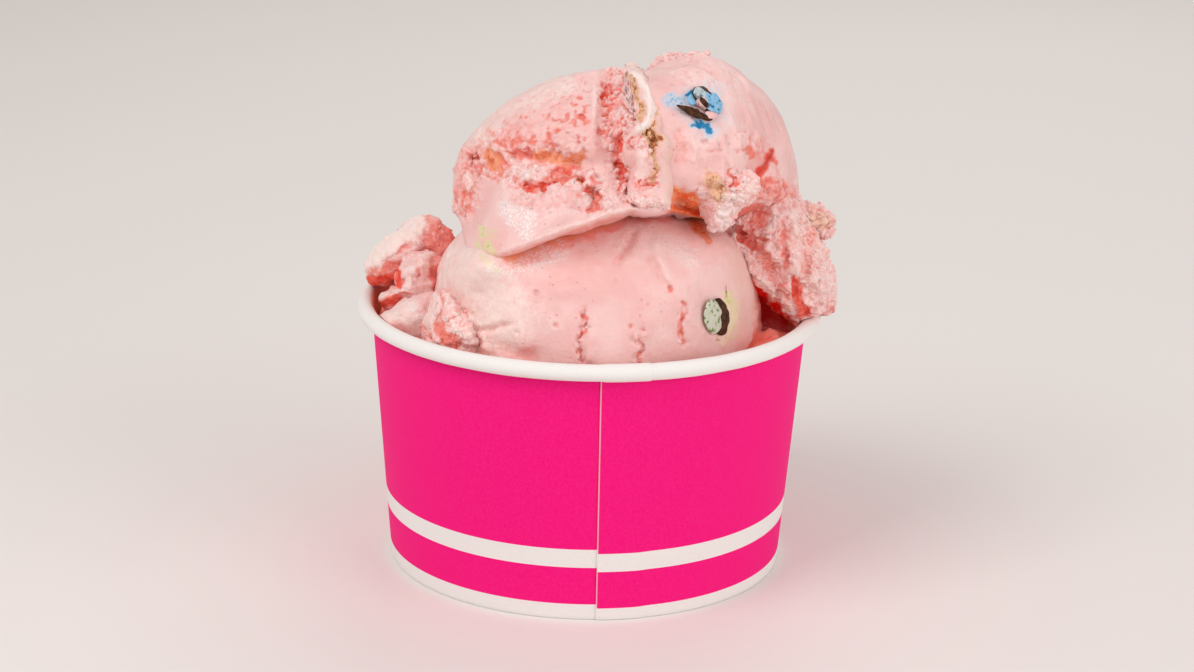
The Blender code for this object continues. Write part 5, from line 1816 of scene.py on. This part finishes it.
@dataclass(frozen=True)
class TubFill:
    """The ice cream that fills the tub: a plug with an uneven, torn top."""

    tub: PaperTub
    steps: int = 84
    top: float = 43.6
    floor: float = 4.6
    mounds: tuple[Mound, ...] = (
        Mound((33.0, -17.0), 8.0, 4.4),
        Mound((31.5, 4.0), 6.0, 6.8),
        Mound((-38.5, -3.0), 7.0, 4.8),
    )

    def surface(self) -> Surface:
        """Works out the plug from the directions of a ball.

        The turn from straight up gives the radius over the upper half, and then the way down the side
        and in under the floor.
        """
        directions, faces = ball_grid(self.steps, crowding=0.45)
        turn = np.arccos(np.clip(-directions[:, 1], -1, 1)) / (np.pi / 2)
        angle = np.arctan2(directions[:, 2], directions[:, 0])
        down = np.clip((turn - 1) / 0.55, 0, 1)
        inwards = np.clip((turn - 1.55) / 0.45, 0, 1)
        z = self.top + (self.floor - self.top) * down
        side = self.tub.wall_radius(z) - self.tub.paper - self.tub.clear
        radius = side * np.minimum(turn, 1) * (1 - inwards)
        points = np.stack([radius * np.cos(angle), radius * np.sin(angle), z], axis=1)
        upper = smooth_step(turn, 1.02, 0.96)
        heaped = np.zeros(len(points))
        for mound in self.mounds:
            aside = np.hypot(points[:, 0] - mound.place[0], points[:, 1] - mound.place[1])
            heaped += mound.height * np.exp(-((aside / mound.size) ** 2))
        torn = 0.5 + 0.5 * smooth_step(layered_noise(points, 9.0, 23), -0.2, 0.3)
        lumpy = 1.6 * billows(points + wander(points, 2.5, 24), 3.6, 25) - 0.6
        points[:, 2] += upper * (heaped + 0.8 * layered_noise(points, 7.0, 21) + lumpy * torn)
        surface = Surface(points, faces[:, ::-1]).outwards()
        surface.push(upper * torn * 0.45 * (billows(points, 1.1, 26) - PUFF_MIDDLE))
        surface.points = self.tub.keep_clear(surface.points)
        surface.traits[Trait.TORN] = torn * 0.5
        # Painted shade over the whole fill, which lies low in the tub, and painted red shade at the right,
        # near the wall, under the right slab.
        surface.traits[Trait.HOLLOW_SHADE] = np.clip(0.66 + 0.3 * layered_noise(points, 6.0, 27), 0, 1)
        red = smooth_step(radius, 39.4, 36.6) * smooth_step(points[:, 0], 14.0, 22.0)
        behind = smooth_step(points[:, 1], 26.0, 14.0)
        surface.traits[Trait.RED_SHADE] = red * behind * smooth_step(points[:, 1], -13.0, -4.0)
        return surface

    def build(self, material: bpy.types.Material) -> bpy.types.Object:
        """Makes the plug's object in ice cream, in place of its solid."""
        obj = self.surface().make_object("tub_fill", material)
        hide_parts("cup_fill")
        return obj


@dataclass(frozen=True)
class Heap:
    """The scoops, slabs and chunks that stand in the tub, and the crumbs that lie on their torn parts."""

    tub: PaperTub
    pieces: tuple[HeapPiece, ...] = HEAP
    crumb_count: int = 700
    crumb_steps: int = 3
    crumb_radius: tuple[float, float] = (0.14, 0.34)
    crumb_seed: int = 5
    crumb_lift: float = 0.15
    crumb_unevenness: float = 0.55

    def build(self, materials: dict[Flavour, bpy.types.Material]) -> list[bpy.types.Object]:
        """Makes each piece's object in place of its solid, and then the crumbs."""
        objects = []
        torn: list[Surface] = []
        for piece in self.pieces:
            surface = piece.surface()
            surface.points = within_solid(self.tub.keep_clear(surface.points))
            obj = surface.make_object(piece.name, materials[piece.flavour])
            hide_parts(piece.node)
            objects.append(obj)
            if piece.slot == "ice_cream":
                torn.append(surface)
        crumbs = self.crumbs(torn)
        crumbs.points = within_solid(crumbs.points)
        obj = crumbs.make_object("loose_crumbs", materials[Flavour.ICE_CREAM])
        return [*objects, obj]

    def crumbs(self, hosts: list[Surface]) -> Surface:
        """Scatters small uneven balls over the torn parts, partly sunk in them.

        Args:
            hosts: the surfaces that they may lie on.

        Returns:
            All the crumbs, each with the masks of its place.
        """
        points = np.concatenate([host.points for host in hosts])
        normals = np.concatenate([host.normals() for host in hosts])
        torn = np.concatenate([host.trait(Trait.TORN) for host in hosts])
        chosen = np.random.default_rng(self.crumb_seed)
        weight = torn**2 * smooth_step(normals[:, 1], 0.6, -0.2) * (torn > 0.4)
        spots = chosen.choice(len(points), self.crumb_count, replace=False, p=weight / weight.sum())
        radii = chosen.uniform(*self.crumb_radius, self.crumb_count)
        directions, faces = ball_grid(self.crumb_steps, crowding=0.0)
        away = chosen.uniform(0, 99, (self.crumb_count, 1, 3))
        uneven = lattice_noise((directions[None] * 1.3 + away).reshape(-1, 3), 7)
        shapes = 1 + self.crumb_unevenness * uneven.reshape(self.crumb_count, -1)
        centres = points[spots] + normals[spots] * (radii * self.crumb_lift)[:, None]
        places = centres[:, None, :] + directions[None] * (radii[:, None] * shapes)[..., None]
        joined = faces[None] + np.arange(self.crumb_count)[:, None, None] * len(directions)
        surface = Surface(places.reshape(-1, 3), joined.reshape(-1, 4))
        # Each crumb takes its place's torn and tan marks, and its painted shade and painted light.
        for trait in (Trait.TORN, Trait.TAN, Trait.PALE_AND_LIT, Trait.HOLLOW_SHADE, Trait.RED_SHADE, Trait.WARM_SHADE):
            masks = np.concatenate([host.trait(trait) for host in hosts])[spots]
            surface.traits[trait] = np.repeat(masks, len(directions))
        return surface


@dataclass(frozen=True)
class Lamp:
    """A square soft light: where it hangs, how wide it is in metres, its power in watts and its colour."""

    name: str
    place: tuple[float, float, float]
    size: float
    power: float
    colour: Colour = (1.0, 0.99, 0.98)


@dataclass(frozen=True)
class Studio:
    """The camera, the lights and the pale sweep that the tub stands on."""

    lens: float = 90.45
    sensor: float = 36.0
    eye: tuple[float, float, float] = (0.0003415, -0.54016, 0.20730)
    tip_degrees: float = 73.02
    roll_degrees: float = 1.316
    target: tuple[float, float, float] = (0.0, 0.0, 0.055)
    key: Lamp = Lamp("key", (-0.36, -0.34, 0.56), 0.4, 2.05)
    fill: Lamp = Lamp("fill", (0.6, -0.45, 0.32), 0.6, 1.9)
    back: Lamp = Lamp("back", (0.15, 0.55, 0.5), 0.5, 0.9, (1.0, 0.985, 0.98))
    sky: tuple[float, float, float, float] = (1.0, 0.99, 0.985, 1.0)
    sky_strength: float = 0.56
    floor_front: float = -3.0
    floor_back: float = 1.0
    bend_radius: float = 0.6
    wall_height: float = 4.0
    half_width: float = 4.0

    def camera(self) -> None:
        """Sets the camera where the photograph was taken from."""
        camera = bpy.data.cameras.new("camera")
        camera.lens = self.lens
        camera.sensor_width = self.sensor
        camera.clip_start = 0.01
        obj = bpy.data.objects.new("camera", camera)
        tip = Matrix.Rotation(math.radians(self.tip_degrees), 4, "X")
        roll = Matrix.Rotation(math.radians(self.roll_degrees), 4, "Z")
        obj.matrix_world = Matrix.Translation(self.eye) @ tip @ roll
        bpy.context.scene.collection.objects.link(obj)
        bpy.context.scene.camera = obj

    def light(self, lamp: Lamp) -> None:
        """Hangs a lamp and turns it to the target."""
        light = bpy.data.lights.new(lamp.name, "AREA")
        light.size = lamp.size
        light.energy = lamp.power
        light.color = lamp.colour
        obj = bpy.data.objects.new(lamp.name, light)
        place = Vector(lamp.place)
        turn = (Vector(self.target) - place).to_track_quat("-Z", "Y")
        obj.matrix_world = Matrix.Translation(place) @ turn.to_matrix().to_4x4()
        bpy.context.scene.collection.objects.link(obj)

    def lights(self) -> None:
        """Adds a key light high at the left, a wide fill at the right, a back light, and an even sky."""
        for lamp in (self.key, self.fill, self.back):
            self.light(lamp)
        world = bpy.data.worlds.new("sky")
        world.use_nodes = True
        background = world.node_tree.nodes["Background"]
        background.inputs["Color"].default_value = self.sky
        background.inputs["Strength"].default_value = self.sky_strength
        bpy.context.scene.world = world

    def sweep(self) -> None:
        """Lays a pale floor that curves up into a wall behind: a profile carried along X."""
        turns = np.radians(np.linspace(0, 90, 25))
        radius = self.bend_radius
        bend = np.stack([self.floor_back + radius * np.sin(turns), radius - radius * np.cos(turns)], axis=1)
        top = (self.floor_back + radius, self.wall_height)
        profile = np.concatenate([[(self.floor_front, 0.0)], bend, [top]])
        across = np.array((-self.half_width, self.half_width))
        rows = np.repeat(profile[:, None], len(across), axis=1)
        x = np.broadcast_to(across, rows.shape[:2])
        points = np.stack([x, rows[..., 0], rows[..., 1]], axis=-1).reshape(-1, 3)
        corner = np.arange(len(profile) * 2).reshape(-1, 2)
        faces = np.stack([corner[:-1, 0], corner[:-1, 1], corner[1:, 1], corner[1:, 0]], axis=1)
        mesh = bpy.data.meshes.new("sweep")
        mesh.from_pydata(points.tolist(), [], faces.tolist())
        mesh.polygons.foreach_set("use_smooth", np.ones(len(faces), bool))
        material, bench, shader = start_material("pale_card")
        soft = bench.noise(bench.node("ShaderNodeTexCoord").outputs["Object"], 0.4)
        bench.set(shader.inputs["Base Color"], bench.mix(soft, tone(238, 232, 228), tone(232, 226, 222)))
        shader.inputs["Roughness"].default_value = 0.7
        mesh.materials.append(material)
        obj = bpy.data.objects.new("sweep", mesh)
        bpy.context.scene.collection.objects.link(obj)

    def build(self) -> None:
        """Sets the camera, the lights and the sweep, and shows colours as they are."""
        self.camera()
        self.lights()
        self.sweep()
        bpy.context.scene.view_settings.view_transform = "Standard"


WHITE_PAPER = CandyFinish("white_paper", tone(243, 239, 231), tone(232, 226, 216), 0.4, 0.6, 0.012)
CANDIES = {
    Flavour.BLUE_SHELL: CandyFinish(
        "blue_sugar_shell", tone(148, 198, 228), tone(104, 172, 216), flecks=tone(40, 96, 132)
    ),
    Flavour.WORN_SHELL: CandyFinish(
        "worn_sugar_shell", tone(204, 210, 208), tone(150, 172, 184), flecks=tone(110, 120, 122)
    ),
    Flavour.GREEN_SHELL: CandyFinish(
        "green_sugar_shell", tone(214, 213, 196), tone(192, 194, 166), 0.8, flecks=tone(110, 132, 62)
    ),
    Flavour.CHOCOLATE: CandyFinish("dark_chocolate", tone(44, 24, 14), tone(92, 56, 34), gloss=0.12),
}


def main() -> None:
    """Builds the tub, its fill and its heap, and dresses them."""
    logging.basicConfig(level=logging.INFO, format="%(message)s")
    grain = fine_grain_group()
    materials = {Flavour.ICE_CREAM: IceCreamFinish().material()}
    materials |= {flavour: candy.material(grain) for flavour, candy in CANDIES.items()}
    tub = PaperTub()
    tub.build(PrintedPaperFinish(), grain)
    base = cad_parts["cup_base"]
    base.data.materials.clear()
    base.data.materials.append(WHITE_PAPER.material(grain))
    LOG.info("cup_base: its solid, in white paper")
    TubFill(tub).build(materials[Flavour.ICE_CREAM])
    Heap(tub).build(materials)
    Studio().build()
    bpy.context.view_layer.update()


if __name__ == "__main__":
    main()
